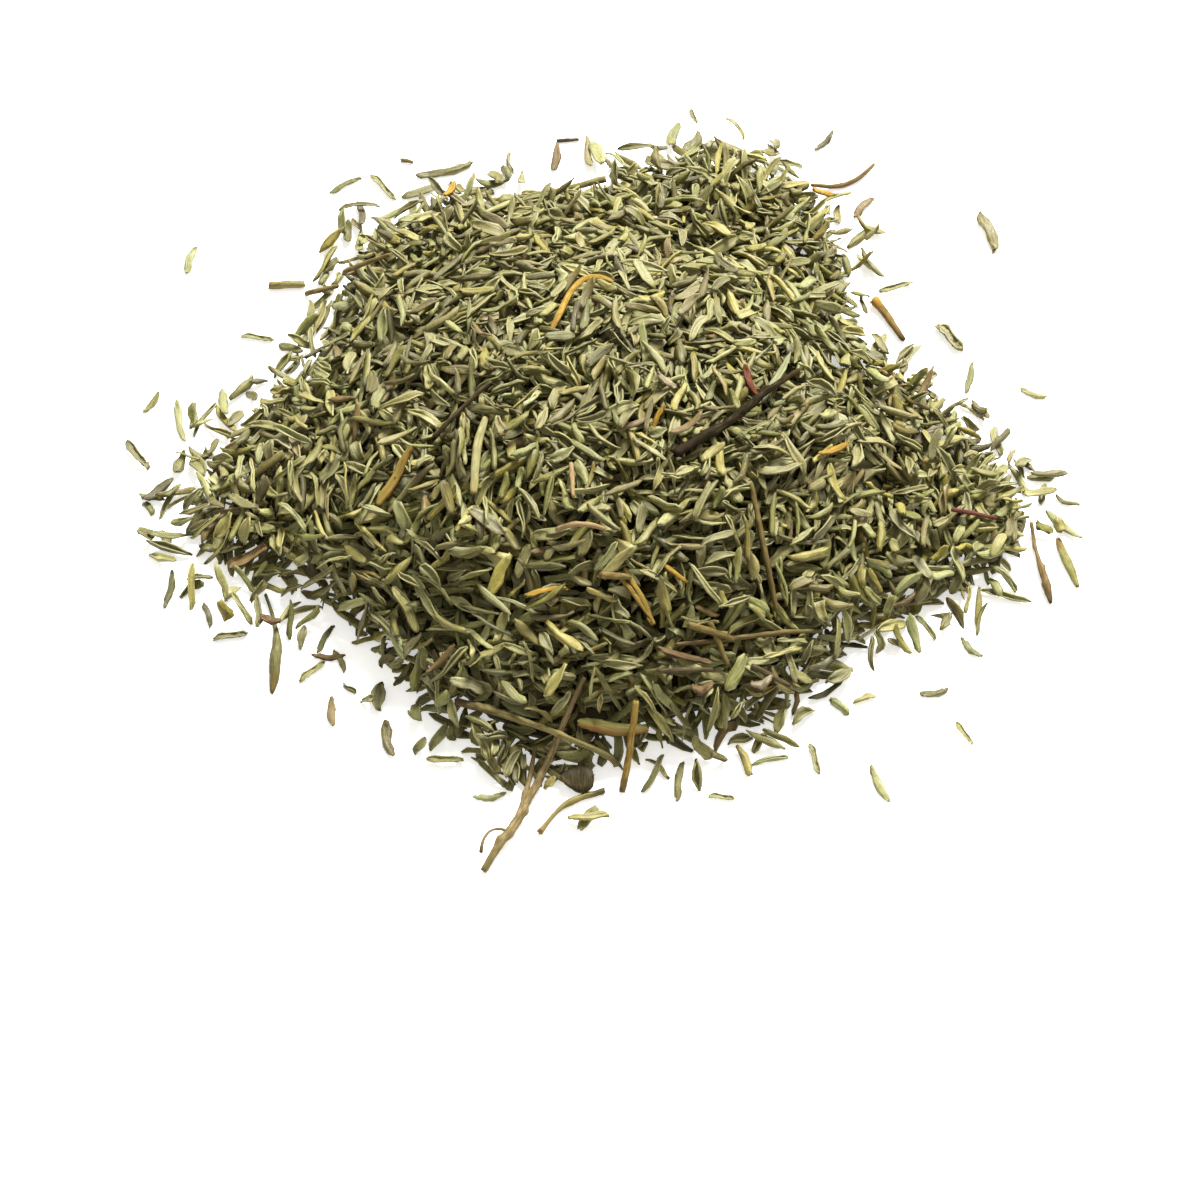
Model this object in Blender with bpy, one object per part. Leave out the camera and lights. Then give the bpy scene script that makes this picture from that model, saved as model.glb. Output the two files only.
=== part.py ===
"""A loose heap of rubbed, dried thyme leaves.

The heap is one mound of packed leaves on a flat bottom. On it and round it lie the pieces
that can be told apart: bits of twig, golden husks, flower stalks and single dried leaves.
Each of those is a solid of its own, 0.3 mm or more clear of its neighbours.

Frame: the origin is on the surface that the heap lies on, under the middle of the mound.
+X runs along the heap's longer side and +Z is up. Lengths below are millimetres until they
reach a mesh.
"""
import math

import bmesh
import bpy
from mathutils import Matrix, Vector

MM = 0.001
GAP = 0.35                 # clearance between a piece and the heap under it
TABLE_GAP = 0.02           # the same for a husk that lies beside the heap
HEAP_SPOKES = 64
HEAP_RINGS = 15
JUST_INSIDE = 0.9999       # share of the way out at which the rim's height is read
RIM_HEIGHT = 0.9           # one leaf thick at the heap's edge
SHOULDER_RISE = 3.6        # a few leaves deep just inside the edge
DOME_RISE = 15.5           # the mound proper
DOME_HALF_X = 44.0
DOME_HALF_Y = 43.0
DOME_CENTRE_Y = -4.0
STRAY_THICKNESS = 0.75
STEM_STEPS = 4             # points added between two given points of a stem
FORK_STEPS = 2             # the same for the forked twig, whose points lie closer
STEM_BEVEL = 1             # bevel resolution of a stem, which gives it six sides
FLAKE_AT = (-2.6, -49.4)
FLAKE_HEADING = 90         # degrees
FLAKE_SEAT = (4.6, 2.2)    # length and half width of the ground that it rests on
FLAKE_HALF_X = 2.2
FLAKE_HALF_Y = 2.15
FLAKE_THICKNESS = 0.5
FLAKE_CUP = 0.10           # how much its sides bend up, per square millimetre of width

# The heap's edge seen from above: bearing in degrees from +X, distance from the origin.
HEAP_EDGE = (
    (0, 51), (20, 41), (32, 40), (45, 46), (60, 54), (74, 52), (90, 46), (114, 47),
    (128, 49), (145, 43), (160, 42), (178, 49), (193, 55), (208, 44), (230, 42), (250, 47),
    (262, 48), (281, 45), (307, 45), (321, 44), (335, 50), (347, 57),
)

# Base colour (linear) and roughness of each kind of surface.
SURFACES = {
    "packed_leaves": ((0.20, 0.18, 0.08), 0.75),
    "green_leaf": ((0.26, 0.27, 0.13), 0.65),
    "grey_leaf": ((0.34, 0.35, 0.20), 0.70),
    "brown_leaf": ((0.24, 0.13, 0.04), 0.65),
    "golden_husk": ((0.50, 0.28, 0.07), 0.55),
    "orange_petal": ((0.55, 0.26, 0.05), 0.60),
    "pale_stem": ((0.42, 0.32, 0.15), 0.60),
    "brown_stem": ((0.20, 0.11, 0.05), 0.65),
    "dark_stem": ((0.04, 0.025, 0.015), 0.60),
}

# Stems: name, surface, lift above the heap, then x, y and radius along the middle.
# A fourth number adds height at that point.
STEMS = (
    ("crossing_twig", "pale_stem", 0.0, ((-18.5, -40.2, 0.50, 0.3), (-14.0, -41.9, 0.55, 0.5),
     (-9.5, -43.7, 0.42, 1.2), (-5.5, -45.3, 0.36, 2.0), (-2.0, -46.2, 0.33, 1.4),
     (2.2, -47.3, 0.45, 0.6))),
    ("bent_stalk", "golden_husk", 0.0, ((-7.6, -56.8, 0.50), (-7.1, -56.0, 0.30),
     (-5.7, -54.0, 0.28), (-4.1, -52.6, 0.42), (-2.4, -51.8, 0.38), (0.6, -50.8, 0.40))),
    ("gold_stub", "golden_husk", 0.0, ((4.6, -42.2, 0.40, 2.4), (4.2, -44.4, 0.42, 2.8),
     (3.6, -47.4, 0.44, 1.9), (2.8, -51.0, 0.42))),
    ("dark_stem", "dark_stem", 0.2, ((9.6, -12.4, 0.62), (12.8, -9.8, 0.68),
     (16.4, -7.4, 0.55, 0.8), (21.0, -2.4, 0.48, 1.7), (26.2, 3.7, 0.32, 1.6))),
    ("brown_stalk", "brown_stem", 0.1, ((19.4, -14.6, 0.34), (20.2, -18.6, 0.36),
     (20.9, -22.4, 0.42), (21.7, -25.8, 0.36), (22.6, -29.6, 0.30))),
    ("rear_stalk", "pale_stem", 0.2, ((-15.6, 44.6, 0.36), (-10.0, 45.4, 0.42),
     (-4.6, 46.6, 0.44, 0.2), (0.8, 48.0, 0.50, 0.6))),
    ("curved_stalk", "brown_stem", 0.0, ((30.0, 47.2, 0.26, 0.4), (33.8, 47.2, 0.34),
     (36.8, 48.6, 0.36), (39.2, 51.0, 0.24, 0.5))),
    ("bud_stalk", "brown_stem", 0.0, ((57.4, -10.6, 0.52, 0.5), (57.6, -12.6, 0.36),
     (58.1, -16.0, 0.34), (58.6, -19.0, 0.44), (59.2, -22.9, 0.42))),
    ("right_sliver", "brown_leaf", 0.0, ((60.9, -12.6, 0.32), (61.8, -16.2, 0.46),
     (63.0, -20.2, 0.28))),
    ("knobbed_stalk", "orange_petal", 0.0, ((38.0, 26.8, 0.75), (38.9, 25.6, 0.60),
     (40.2, 23.4, 0.48), (41.9, 20.0, 0.40))),
    ("flower_stalk", "dark_stem", 0.0, ((-44.0, -21.6, 0.26, 0.5), (-43.0, -24.2, 0.28),
     (-42.3, -27.2, 0.40), (-42.0, -29.2, 0.80), (-42.1, -32.6, 0.75), (-42.4, -36.4, 0.30))),
    ("orange_curl", "orange_petal", 0.2, ((-6.4, 7.6, 0.35), (-5.2, 11.2, 0.55),
     (-4.0, 14.8, 0.50, 0.2), (-2.4, 17.6, 0.48, 0.5), (-0.2, 18.2, 0.50, 0.6),
     (1.8, 17.6, 0.30, 0.3))),
    ("straw_blade", "pale_stem", 0.2, ((-14.8, -6.0, 0.40), (-15.9, -10.6, 0.58),
     (-16.2, -16.8, 0.50))),
    ("thin_stem", "brown_stem", 0.2, ((9.6, -35.3, 0.26, 0.4), (15.0, -34.2, 0.32),
     (21.0, -32.6, 0.34), (28.6, -30.4, 0.26, 0.3))),
    ("pale_stub", "pale_stem", 0.0, ((-46.2, 29.4, 0.50), (-43.6, 29.5, 0.58),
     (-41.2, 29.7, 0.52))),
)

# The forked twig at the front: a main stem, a second stem that leaves it low down, and the
# dried tendril near its lower end. x, y, radius, added height.
FORK_MAIN = ((-14.7, -62.2, 0.52), (-12.8, -59.2, 0.56), (-10.8, -56.2, 0.60),
             (-9.2, -52.8, 0.56), (-7.4, -49.2, 0.50), (-5.6, -45.8, 0.44), (-3.8, -42.6, 0.40),
             (-2.0, -39.2, 0.34))
FORK_SIDE = ((-9.9, -54.0, 0.40), (-9.4, -51.6, 0.38), (-8.8, -48.8, 0.34), (-8.2, -45.8, 0.30))
FORK_TENDRIL = ((-11.6, -57.4, 0.26), (-12.6, -56.7, 0.20, 0.4), (-14.0, -57.3, 0.20, 0.9),
                (-14.8, -58.8, 0.22, 0.7), (-14.9, -60.2, 0.30, 0.2))

# Leaves and husks that lie on the heap or at its edge: name, surface, x, y, heading in
# degrees, length, width, thickness, sideways bow, quarter turns about the length.
HEAP_LEAVES = (
    ("front_husk", "golden_husk", 1.6, -44.4, -1, 9.2, 2.3, 1.2, 0.3, 0),
    ("long_leaf", "grey_leaf", 22.4, 3.6, 67, 13.5, 1.8, 0.8, 0.9, 2),
    ("gold_husk", "golden_husk", -26.2, -12.2, 58, 9.0, 1.7, 1.0, -0.4, 2),
    ("split_husk", "golden_husk", 4.6, -30.6, -50, 8.2, 2.3, 1.2, 0.2, 0),
    ("yellow_leaf", "green_leaf", -24.4, -28.6, -58, 7.2, 2.0, 0.6, 0.5, 2),
    ("rear_husk", "pale_stem", 18.4, 54.6, -16, 6.2, 2.0, 0.9, 0.2, 2),
    ("rear_brown_husk", "brown_leaf", -6.4, 52.6, 84, 5.0, 1.5, 0.9, 0.2, 2),
    ("woody_chip", "brown_stem", -46.4, -17.0, 14, 5.8, 2.1, 1.1, 0.0, 2),
)

# Single leaves on the surface round the heap: name, surface, x, y, heading, length, width,
# sideways bow, half turns about the length.
STRAYS = (
    ("leaf_back_1", "green_leaf", -36.2, 47.4, 35, 5.4, 1.1, 0.3, 0),
    ("leaf_back_2", "grey_leaf", -31.2, 47.0, 129, 6.0, 1.2, 0.4, 1),
    ("leaf_back_3", "green_leaf", -29.6, 42.6, 31, 4.9, 1.1, -0.3, 0),
    ("leaf_back_4", "brown_leaf", -22.0, 49.4, 14, 8.6, 1.3, -0.9, 1),
    ("leaf_back_5", "green_leaf", 13.6, 60.2, 109, 2.8, 0.9, 0.1, 0),
    ("leaf_back_6", "green_leaf", 32.2, 55.6, 48, 4.8, 1.1, 0.2, 1),
    ("leaf_back_7", "green_leaf", 37.4, 43.4, 53, 4.6, 1.5, 0.2, 0),
    ("leaf_right_1", "grey_leaf", 55.2, 39.0, 107, 7.4, 2.0, 0.3, 0),
    ("leaf_right_2", "grey_leaf", 48.2, 20.4, 127, 5.6, 2.1, 0.2, 1),
    ("leaf_right_3", "green_leaf", 51.0, 13.6, 78, 5.4, 1.1, 0.3, 0),
    ("leaf_right_4", "green_leaf", 59.2, 11.0, 154, 3.9, 1.1, 0.1, 1),
    ("leaf_right_5", "green_leaf", 41.2, 29.4, 19, 5.2, 1.2, 0.3, 1),
    ("leaf_left_1", "green_leaf", -57.2, 34.0, 79, 5.0, 1.4, 0.4, 0),
    ("leaf_left_2", "green_leaf", -47.4, 20.4, 172, 4.8, 1.1, 0.2, 1),
    ("leaf_left_3", "green_leaf", -61.0, 9.4, 62, 4.0, 1.1, 0.2, 0),
    ("leaf_left_4", "grey_leaf", -57.6, 6.4, 101, 7.2, 1.1, 0.5, 1),
    ("leaf_left_5", "green_leaf", -62.2, 0.8, 126, 5.9, 1.5, 0.3, 0),
    ("leaf_left_6", "green_leaf", -56.9, -20.6, 80, 6.2, 1.2, 0.3, 1),
    ("leaf_left_7", "green_leaf", -51.2, -24.4, 108, 4.1, 1.0, 0.2, 0),
    ("leaf_left_8", "green_leaf", -48.2, -28.0, 12, 4.8, 1.3, 0.3, 0),
    ("leaf_front_1", "green_leaf", -36.2, -28.0, 66, 4.8, 1.0, 0.3, 1),
    ("leaf_front_2", "grey_leaf", -33.6, -31.4, 117, 3.8, 1.0, 0.2, 0),
    ("leaf_front_3", "brown_leaf", -37.4, -33.0, 44, 4.6, 1.2, 0.1, 1),
    ("leaf_front_4", "green_leaf", -34.2, -39.2, 96, 4.5, 1.3, 0.4, 0),
    ("leaf_front_5", "grey_leaf", -27.0, -43.2, 99, 5.5, 1.6, 0.2, 0),
    ("leaf_front_6", "brown_leaf", -19.8, -46.6, 178, 4.9, 1.3, 0.2, 1),
    ("leaf_front_7", "grey_leaf", -14.0, -51.6, 2, 4.4, 1.2, 0.1, 1),
    ("leaf_front_8", "grey_leaf", 10.2, -49.4, 83, 6.0, 1.2, 0.2, 0),
    ("leaf_front_9", "green_leaf", 15.4, -51.8, 175, 3.5, 1.0, 0.2, 1),
    ("leaf_front_10", "green_leaf", 27.6, -46.0, 103, 4.7, 1.1, 0.2, 0),
    ("leaf_front_11", "green_leaf", 35.2, -50.0, 113, 5.8, 1.3, 0.3, 1),
    ("leaf_front_12", "brown_leaf", 43.2, -36.4, 7, 3.9, 1.2, 0.1, 0),
    ("leaf_front_13", "grey_leaf", 46.4, -42.6, 120, 3.9, 0.9, 0.4, 1),
    ("leaf_front_14", "green_leaf", 48.4, -29.6, 126, 4.1, 1.2, 0.2, 0),
)


def closed_curve(knots, bearing):
    """Distance at a bearing, from a Catmull-Rom curve that closes on itself."""
    count = len(knots)
    bearing = bearing % 360.0
    k = max(i for i in range(count) if knots[i][0] <= bearing)
    spans = []
    for i in range(k - 1, k + 3):
        turn, j = divmod(i, count)
        spans.append((knots[j][0] + 360.0 * turn, knots[j][1]))
    (a0, r0), (a1, r1), (a2, r2), (a3, r3) = spans
    t = (bearing - a1) / (a2 - a1)
    m1 = (r2 - r0) / (a2 - a0) * (a2 - a1)
    m2 = (r3 - r1) / (a3 - a1) * (a2 - a1)
    return ((2 * t**3 - 3 * t**2 + 1) * r1 + (t**3 - 2 * t**2 + t) * m1
            + (3 * t**2 - 2 * t**3) * r2 + (t**3 - t**2) * m2)


def heap_height(x, y):
    """Height of the packed heap over the point x, y, in millimetres."""
    radius = closed_curve(HEAP_EDGE, math.degrees(math.atan2(y, x)))
    share = math.hypot(x, y) / radius
    if share > 1.0:
        return 0.0
    dome = math.hypot(x / DOME_HALF_X, (y - DOME_CENTRE_Y) / DOME_HALF_Y)
    height = RIM_HEIGHT + SHOULDER_RISE * (1.0 - share**6)
    return height + DOME_RISE * max(0.0, 1.0 - dome * dome)**1.15


def surface_for(name, kind):
    """A Principled material of the piece's own."""
    colour, roughness = SURFACES[kind]
    material = bpy.data.materials.new(name)
    material.use_nodes = True
    shader = material.node_tree.nodes["Principled BSDF"]
    shader.inputs["Base Color"].default_value = (*colour, 1.0)
    shader.inputs["Roughness"].default_value = roughness
    shader.inputs["Metallic"].default_value = 0.0
    return material


def add_object(name, kind, data):
    """Put a mesh or a curve in the scene under its name, with its material."""
    data.materials.append(surface_for(name, kind))
    piece = bpy.data.objects.new(name, data)
    bpy.context.scene.collection.objects.link(piece)
    return piece


def make_heap():
    """Spin a unit profile once round, then pull it out to the edge and up to the height."""
    bm = bmesh.new()
    points = [Vector((ring / HEAP_RINGS, 0.0, 1.0)) for ring in range(HEAP_RINGS + 1)]
    points += [Vector((1.0, 0.0, 0.0)), Vector((0.5, 0.0, 0.0)), Vector((0.0, 0.0, 0.0))]
    verts = [bm.verts.new(point) for point in points]
    edges = [bm.edges.new(pair) for pair in zip(verts, verts[1:])]
    bmesh.ops.spin(bm, geom=verts + edges, cent=(0, 0, 0), axis=(0, 0, 1),
                   angle=math.tau, steps=HEAP_SPOKES, use_merge=True)
    bmesh.ops.remove_doubles(bm, verts=bm.verts, dist=1e-5)
    for vert in bm.verts:
        share = math.hypot(vert.co.x, vert.co.y)
        bearing = math.degrees(math.atan2(vert.co.y, vert.co.x))
        radius = closed_curve(HEAP_EDGE, bearing)
        x = vert.co.x * radius
        y = vert.co.y * radius
        z = heap_height(x * JUST_INSIDE, y * JUST_INSIDE) if vert.co.z > 0.5 else 0.0
        vert.co = Vector((x, y, z)) * MM
    bmesh.ops.recalc_face_normals(bm, faces=bm.faces)
    mesh = bpy.data.meshes.new("leaf_heap")
    bm.to_mesh(mesh)
    bm.free()
    mesh.shade_smooth()
    mesh.set_sharp_from_angle(angle=math.radians(50))
    return add_object("leaf_heap", "packed_leaves", mesh)


def smooth_path(points, steps):
    """Points read from a Catmull-Rom curve through the given ones."""
    ends = [points[0] * 2 - points[1], *points, points[-1] * 2 - points[-2]]
    path = []
    for k in range(1, len(ends) - 2):
        for step in range(steps):
            t = step / steps
            a, b, c, d = ends[k - 1:k + 3]
            path.append(0.5 * (2 * b + (c - a) * t + (2 * a - 5 * b + 4 * c - d) * t**2
                               + (3 * b - a - 3 * c + d) * t**3))
    path.append(points[-1])
    return path


def stem_curve(name, course, lift, steps=STEM_STEPS):
    """A tapered round stem that follows the heap, or the surface beside it."""
    knots = []
    for x, y, radius, *added in course:
        knots.append(Vector((x, y, added[0] if added else 0.0, radius)))
    path = smooth_path(knots, steps)
    curve = bpy.data.curves.new(name, "CURVE")
    curve.dimensions = "3D"
    curve.bevel_depth = MM
    curve.bevel_resolution = STEM_BEVEL
    curve.use_fill_caps = True
    spline = curve.splines.new("POLY")
    spline.points.add(len(path) - 1)
    for point, (x, y, added, radius) in zip(spline.points, path):
        under = max(heap_height(x + dx, y + dy) for dx in (-radius, 0, radius)
                    for dy in (-radius, 0, radius))
        height = under + radius * 1.02 + added
        if under > 0.0:
            height += GAP + lift
        point.co = (x * MM, y * MM, height * MM, 1.0)
        point.radius = radius
    return curve


def make_forked_twig():
    """Three round stems that a Boolean union turns into one forked piece."""
    parts = []
    courses = (("front_twig", FORK_MAIN), ("front_twig_side", FORK_SIDE),
               ("front_twig_tendril", FORK_TENDRIL))
    for name, course in courses:
        curve = stem_curve(name, course, 0.0, steps=FORK_STEPS)
        holder = bpy.data.objects.new(name + "_line", curve)
        bpy.context.scene.collection.objects.link(holder)
        bpy.context.view_layer.update()
        evaluated = holder.evaluated_get(bpy.context.evaluated_depsgraph_get())
        mesh = bpy.data.meshes.new_from_object(evaluated)
        bpy.data.objects.remove(holder)
        bm = bmesh.new()
        bm.from_mesh(mesh)
        bmesh.ops.remove_doubles(bm, verts=bm.verts, dist=1e-7)
        bmesh.ops.recalc_face_normals(bm, faces=bm.faces)
        bm.to_mesh(mesh)
        bm.free()
        mesh.materials.clear()
        parts.append(add_object(name, "pale_stem", mesh))
    twig = parts[0]
    for other in parts[1:]:
        other.hide_render = True
        other.display_type = "WIRE"
        union = twig.modifiers.new("join_" + other.name, "BOOLEAN")
        union.operation = "UNION"
        union.object = other
    return twig


def leaf_mesh(name, length, width, thickness, bow):
    """A dried leaf: spindle-shaped, edges rolled under, with the groove they leave below."""
    bm = bmesh.new()
    bmesh.ops.create_uvsphere(bm, u_segments=8, v_segments=7, radius=1.0)
    bmesh.ops.rotate(bm, verts=bm.verts, matrix=Matrix.Rotation(math.pi / 2, 3, "Y"))
    for vert in bm.verts:
        along, across, up = vert.co
        belly = 1.0 + 0.25 * along if along < 0 else 1.0 - 0.10 * along
        across *= belly
        if up < -0.2 and abs(across) < 0.15:
            up *= 0.35
        x = along * length / 2
        y = across * width / 2 + bow * (1.0 - along * along)
        z = up * thickness / 2
        vert.co = Vector((x, y, z)) * MM
    bmesh.ops.recalc_face_normals(bm, faces=bm.faces)
    mesh = bpy.data.meshes.new(name)
    bm.to_mesh(mesh)
    bm.free()
    mesh.shade_smooth()
    mesh.set_sharp_from_angle(angle=math.radians(60))
    return mesh


def seat(x, y, heading, length, half_width):
    """Height and pitch at which a straight piece rests on the heap."""
    ux, uy = math.cos(heading), math.sin(heading)
    reach = length / 2
    front = heap_height(x + ux * reach, y + uy * reach)
    back = heap_height(x - ux * reach, y - uy * reach)
    slope = (front - back) / length
    level = 0.0
    for step in range(-4, 5):
        s = reach * step / 4
        for side in (-half_width, 0.0, half_width):
            under = heap_height(x + ux * s - uy * side, y + uy * s + ux * side)
            level = max(level, under - slope * s)
    return level, math.atan(slope)


def place(piece, x, y, z, heading, pitch, half_turns):
    """Stand the piece at its point, turned to its heading and tipped to the slope."""
    turn = Matrix.Rotation(heading, 4, "Z") @ Matrix.Rotation(-pitch, 4, "Y")
    turn = turn @ Matrix.Rotation(half_turns * math.pi / 2, 4, "X")
    piece.location = Vector((x, y, z)) * MM
    piece.rotation_euler = turn.to_euler()


def make_heap_leaves():
    for name, kind, x, y, degrees, length, width, thick, bow, turns in HEAP_LEAVES:
        piece = add_object(name, kind, leaf_mesh(name, length, width, thick, bow))
        heading = math.radians(degrees)
        level, pitch = seat(x, y, heading, length, width / 2)
        rest = thick / 2 / math.cos(pitch)
        gap = GAP if level > 0.0 else TABLE_GAP
        place(piece, x, y, level + rest + gap, heading, pitch, turns)


def make_strays():
    for name, kind, x, y, degrees, length, width, bow, halves in STRAYS:
        mesh = leaf_mesh(name, length, width, STRAY_THICKNESS, bow)
        piece = add_object(name, kind, mesh)
        place(piece, x, y, STRAY_THICKNESS / 2, math.radians(degrees), 0.0, halves * 2)


def make_flake():
    """The broad dark leaf scrap at the front: a rounded triangle, slightly cupped."""
    bm = bmesh.new()
    bmesh.ops.create_circle(bm, cap_ends=True, segments=14, radius=1.0)
    for vert in bm.verts:
        narrowing = 1.0 - 0.42 * max(0.0, vert.co.x)**1.3
        vert.co.x *= FLAKE_HALF_X
        vert.co.y *= FLAKE_HALF_Y * narrowing
    bmesh.ops.triangulate(bm, faces=bm.faces)
    grown = bmesh.ops.extrude_face_region(bm, geom=bm.faces[:], use_keep_orig=True)
    top = [item for item in grown["geom"] if isinstance(item, bmesh.types.BMVert)]
    bmesh.ops.translate(bm, verts=top, vec=(0, 0, FLAKE_THICKNESS))
    for vert in bm.verts:
        vert.co.z += FLAKE_CUP * vert.co.y**2
        vert.co *= MM
    bmesh.ops.recalc_face_normals(bm, faces=bm.faces)
    mesh = bpy.data.meshes.new("dark_flake")
    bm.to_mesh(mesh)
    bm.free()
    piece = add_object("dark_flake", "brown_stem", mesh)
    heading = math.radians(FLAKE_HEADING)
    level, pitch = seat(*FLAKE_AT, heading, *FLAKE_SEAT)
    place(piece, *FLAKE_AT, level + GAP, heading, pitch, 0)


def main():
    for item in list(bpy.data.objects):
        bpy.data.objects.remove(item, do_unlink=True)
    make_heap()
    make_forked_twig()
    for name, kind, lift, course in STEMS:
        add_object(name, kind, stem_curve(name, course, lift))
    make_heap_leaves()
    make_flake()
    make_strays()


main()
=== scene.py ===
# %% [markdown]
# A heap of dried thyme is a few thousand small leaves, each rolled up like a tiny boat. No
# single shape gives that look: the light catches the pale rims of the top leaves and dies
# in the gaps between them. So the heap is made the way a cook makes it. A handful of leaf
# shapes is modelled, and then they are sprinkled one by one, each coming to rest on what
# already lies there. The loaded model gives the outer shape that the heap must keep to.

# %% Load the frame
import math

import bmesh
import bpy
import numpy as np
from mathutils import Matrix, Vector, noise
from mathutils.bvhtree import BVHTree


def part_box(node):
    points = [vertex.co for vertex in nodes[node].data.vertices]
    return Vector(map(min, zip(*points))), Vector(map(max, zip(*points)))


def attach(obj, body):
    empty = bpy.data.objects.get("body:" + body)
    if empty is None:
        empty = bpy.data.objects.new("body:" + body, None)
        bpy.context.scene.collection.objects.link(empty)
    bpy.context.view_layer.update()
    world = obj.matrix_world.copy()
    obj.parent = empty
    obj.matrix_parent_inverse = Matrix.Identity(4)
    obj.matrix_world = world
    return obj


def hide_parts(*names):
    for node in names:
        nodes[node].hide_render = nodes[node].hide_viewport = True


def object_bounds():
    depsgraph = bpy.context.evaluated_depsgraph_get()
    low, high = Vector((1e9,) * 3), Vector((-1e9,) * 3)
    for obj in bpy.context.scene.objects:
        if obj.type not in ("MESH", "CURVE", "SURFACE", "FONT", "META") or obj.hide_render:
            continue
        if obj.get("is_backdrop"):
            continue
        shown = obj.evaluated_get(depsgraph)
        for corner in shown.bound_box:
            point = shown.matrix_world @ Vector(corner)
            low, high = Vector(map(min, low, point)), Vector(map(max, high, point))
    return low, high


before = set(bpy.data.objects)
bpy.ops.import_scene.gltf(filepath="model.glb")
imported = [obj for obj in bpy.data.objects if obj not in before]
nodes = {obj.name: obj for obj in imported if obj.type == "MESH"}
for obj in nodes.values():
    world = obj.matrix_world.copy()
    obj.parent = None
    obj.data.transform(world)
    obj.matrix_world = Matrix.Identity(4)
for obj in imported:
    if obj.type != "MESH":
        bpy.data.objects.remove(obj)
CAD_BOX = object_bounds()
MM = 0.001
heap_low, heap_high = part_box("leaf_heap")
print("nodes:", len(nodes), "heap:", tuple(heap_high - heap_low))

# %% [markdown]
# The camera looks down at the heap from the front. It stands well back and has a long lens,
# so that the far side hardly narrows and the heap keeps its true outline. It aims at the
# table a little in front of the heap's middle, which leaves more of the white table below
# the heap than above it.

# %% Camera
AIM = Vector((0.0, -22.0 * MM, heap_low.z))
LOOK_DOWN = math.radians(58.0)     # how steeply the camera looks down
CAMERA_DISTANCE = 0.4386           # metres
LENS = 100.0                       # millimetres, on a sensor 36 mm wide

lens_data = bpy.data.cameras.new("camera")
lens_data.lens = LENS
lens_data.sensor_width = 36.0
lens_data.clip_start = 0.01
lens_data.clip_end = 10.0
camera = bpy.data.objects.new("camera", lens_data)
bpy.context.scene.collection.objects.link(camera)
step_back = Vector((0.0, -math.cos(LOOK_DOWN), math.sin(LOOK_DOWN)))
camera.location = AIM + step_back * CAMERA_DISTANCE
camera.rotation_euler = (math.pi / 2 - LOOK_DOWN, 0.0, 0.0)
bpy.context.scene.camera = camera
print("camera at", tuple(round(c, 3) for c in camera.location))

# %% [markdown]
# Every piece is shaped as a bmesh, Blender's workshop copy of a mesh, and then goes into the
# scene. Its object stays at the origin and the place is in the mesh, so that a pattern that
# follows the object's coordinates stays where it is.

# %% Put a bmesh into the scene
def place_in_scene(bm, name, smooth=True):
    """Turn a bmesh into an object at the origin."""
    mesh = bpy.data.meshes.new(name)
    bm.to_mesh(mesh)
    bm.free()
    if smooth:
        mesh.shade_smooth()
    piece = bpy.data.objects.new(name, mesh)
    bpy.context.scene.collection.objects.link(piece)
    return piece


# %% [markdown]
# A node material is a chain of small steps. A few helpers keep it readable: one adds a node
# and sets its sockets, one joins two sockets, and the others each stand for one step, such
# as a noise, a sum or a colour ramp. Each takes sockets and gives a socket back.

# %% Node helpers
def add_node(tree, kind, _props=(), **sockets):
    """A shader node with some of its properties and input values set."""
    node = tree.nodes.new(kind)
    for name, value in dict(_props).items():
        setattr(node, name, value)
    for name, value in sockets.items():
        node.inputs[name.replace("_", " ")].default_value = value
    return node


def join(tree, source, target):
    """Link an output socket to an input socket."""
    tree.links.new(source, target)


PLANT_SHINE = 0.45         # specular level; a little under that of smooth plastic


def blank_material(name, roughness):
    """A Principled material, its node tree and its shader node."""
    material = bpy.data.materials.new(name)
    material.use_nodes = True
    tree = material.node_tree
    shader = tree.nodes["Principled BSDF"]
    shader.inputs["Roughness"].default_value = roughness
    shader.inputs["Specular IOR Level"].default_value = PLANT_SHINE
    return material, tree, shader


def attribute(tree, name):
    """The number that each point of a mesh carries under a name."""
    return add_node(tree, "ShaderNodeAttribute", {"attribute_name": name}).outputs["Fac"]


def noise_at(tree, where, **settings):
    """Smooth noise from 0 to 1, read at the given coordinates."""
    node = add_node(tree, "ShaderNodeTexNoise", **settings)
    join(tree, where, node.inputs["Vector"])
    return node.outputs["Fac"]


# %% Node helpers for colours
def ramp(tree, stops, factor):
    """A colour ramp with the given stops, driven by a socket."""
    node = tree.nodes.new("ShaderNodeValToRGB")
    points = node.color_ramp.elements
    while len(points) < len(stops):
        points.new(0.5)
    for point, (place, colour) in zip(points, stops):
        point.position = place
        point.color = (*colour, 1.0)
    join(tree, factor, node.inputs["Fac"])
    return node.outputs["Color"]


def mix_colours(tree, how, amount, first, second):
    """Mix two colours; amount and either colour may be a socket or a value."""
    node = tree.nodes.new("ShaderNodeMix")
    node.data_type = "RGBA"
    node.blend_type = how
    for socket, value in ((node.inputs["Factor"], amount), (node.inputs[6], first),
                          (node.inputs[7], second)):
        if isinstance(value, bpy.types.NodeSocket):
            join(tree, value, socket)
        elif isinstance(value, tuple):
            socket.default_value = (*value, 1.0)
        else:
            socket.default_value = value
    return node.outputs[2]


# %% Node helpers for numbers
def rescale(tree, source, low, high, to_low=0.0, to_high=1.0):
    """Map a socket's range onto another range, clamped."""
    node = add_node(tree, "ShaderNodeMapRange")
    node.inputs["From Min"].default_value = low
    node.inputs["From Max"].default_value = high
    node.inputs["To Min"].default_value = to_low
    node.inputs["To Max"].default_value = to_high
    join(tree, source, node.inputs["Value"])
    return node.outputs["Result"]


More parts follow.
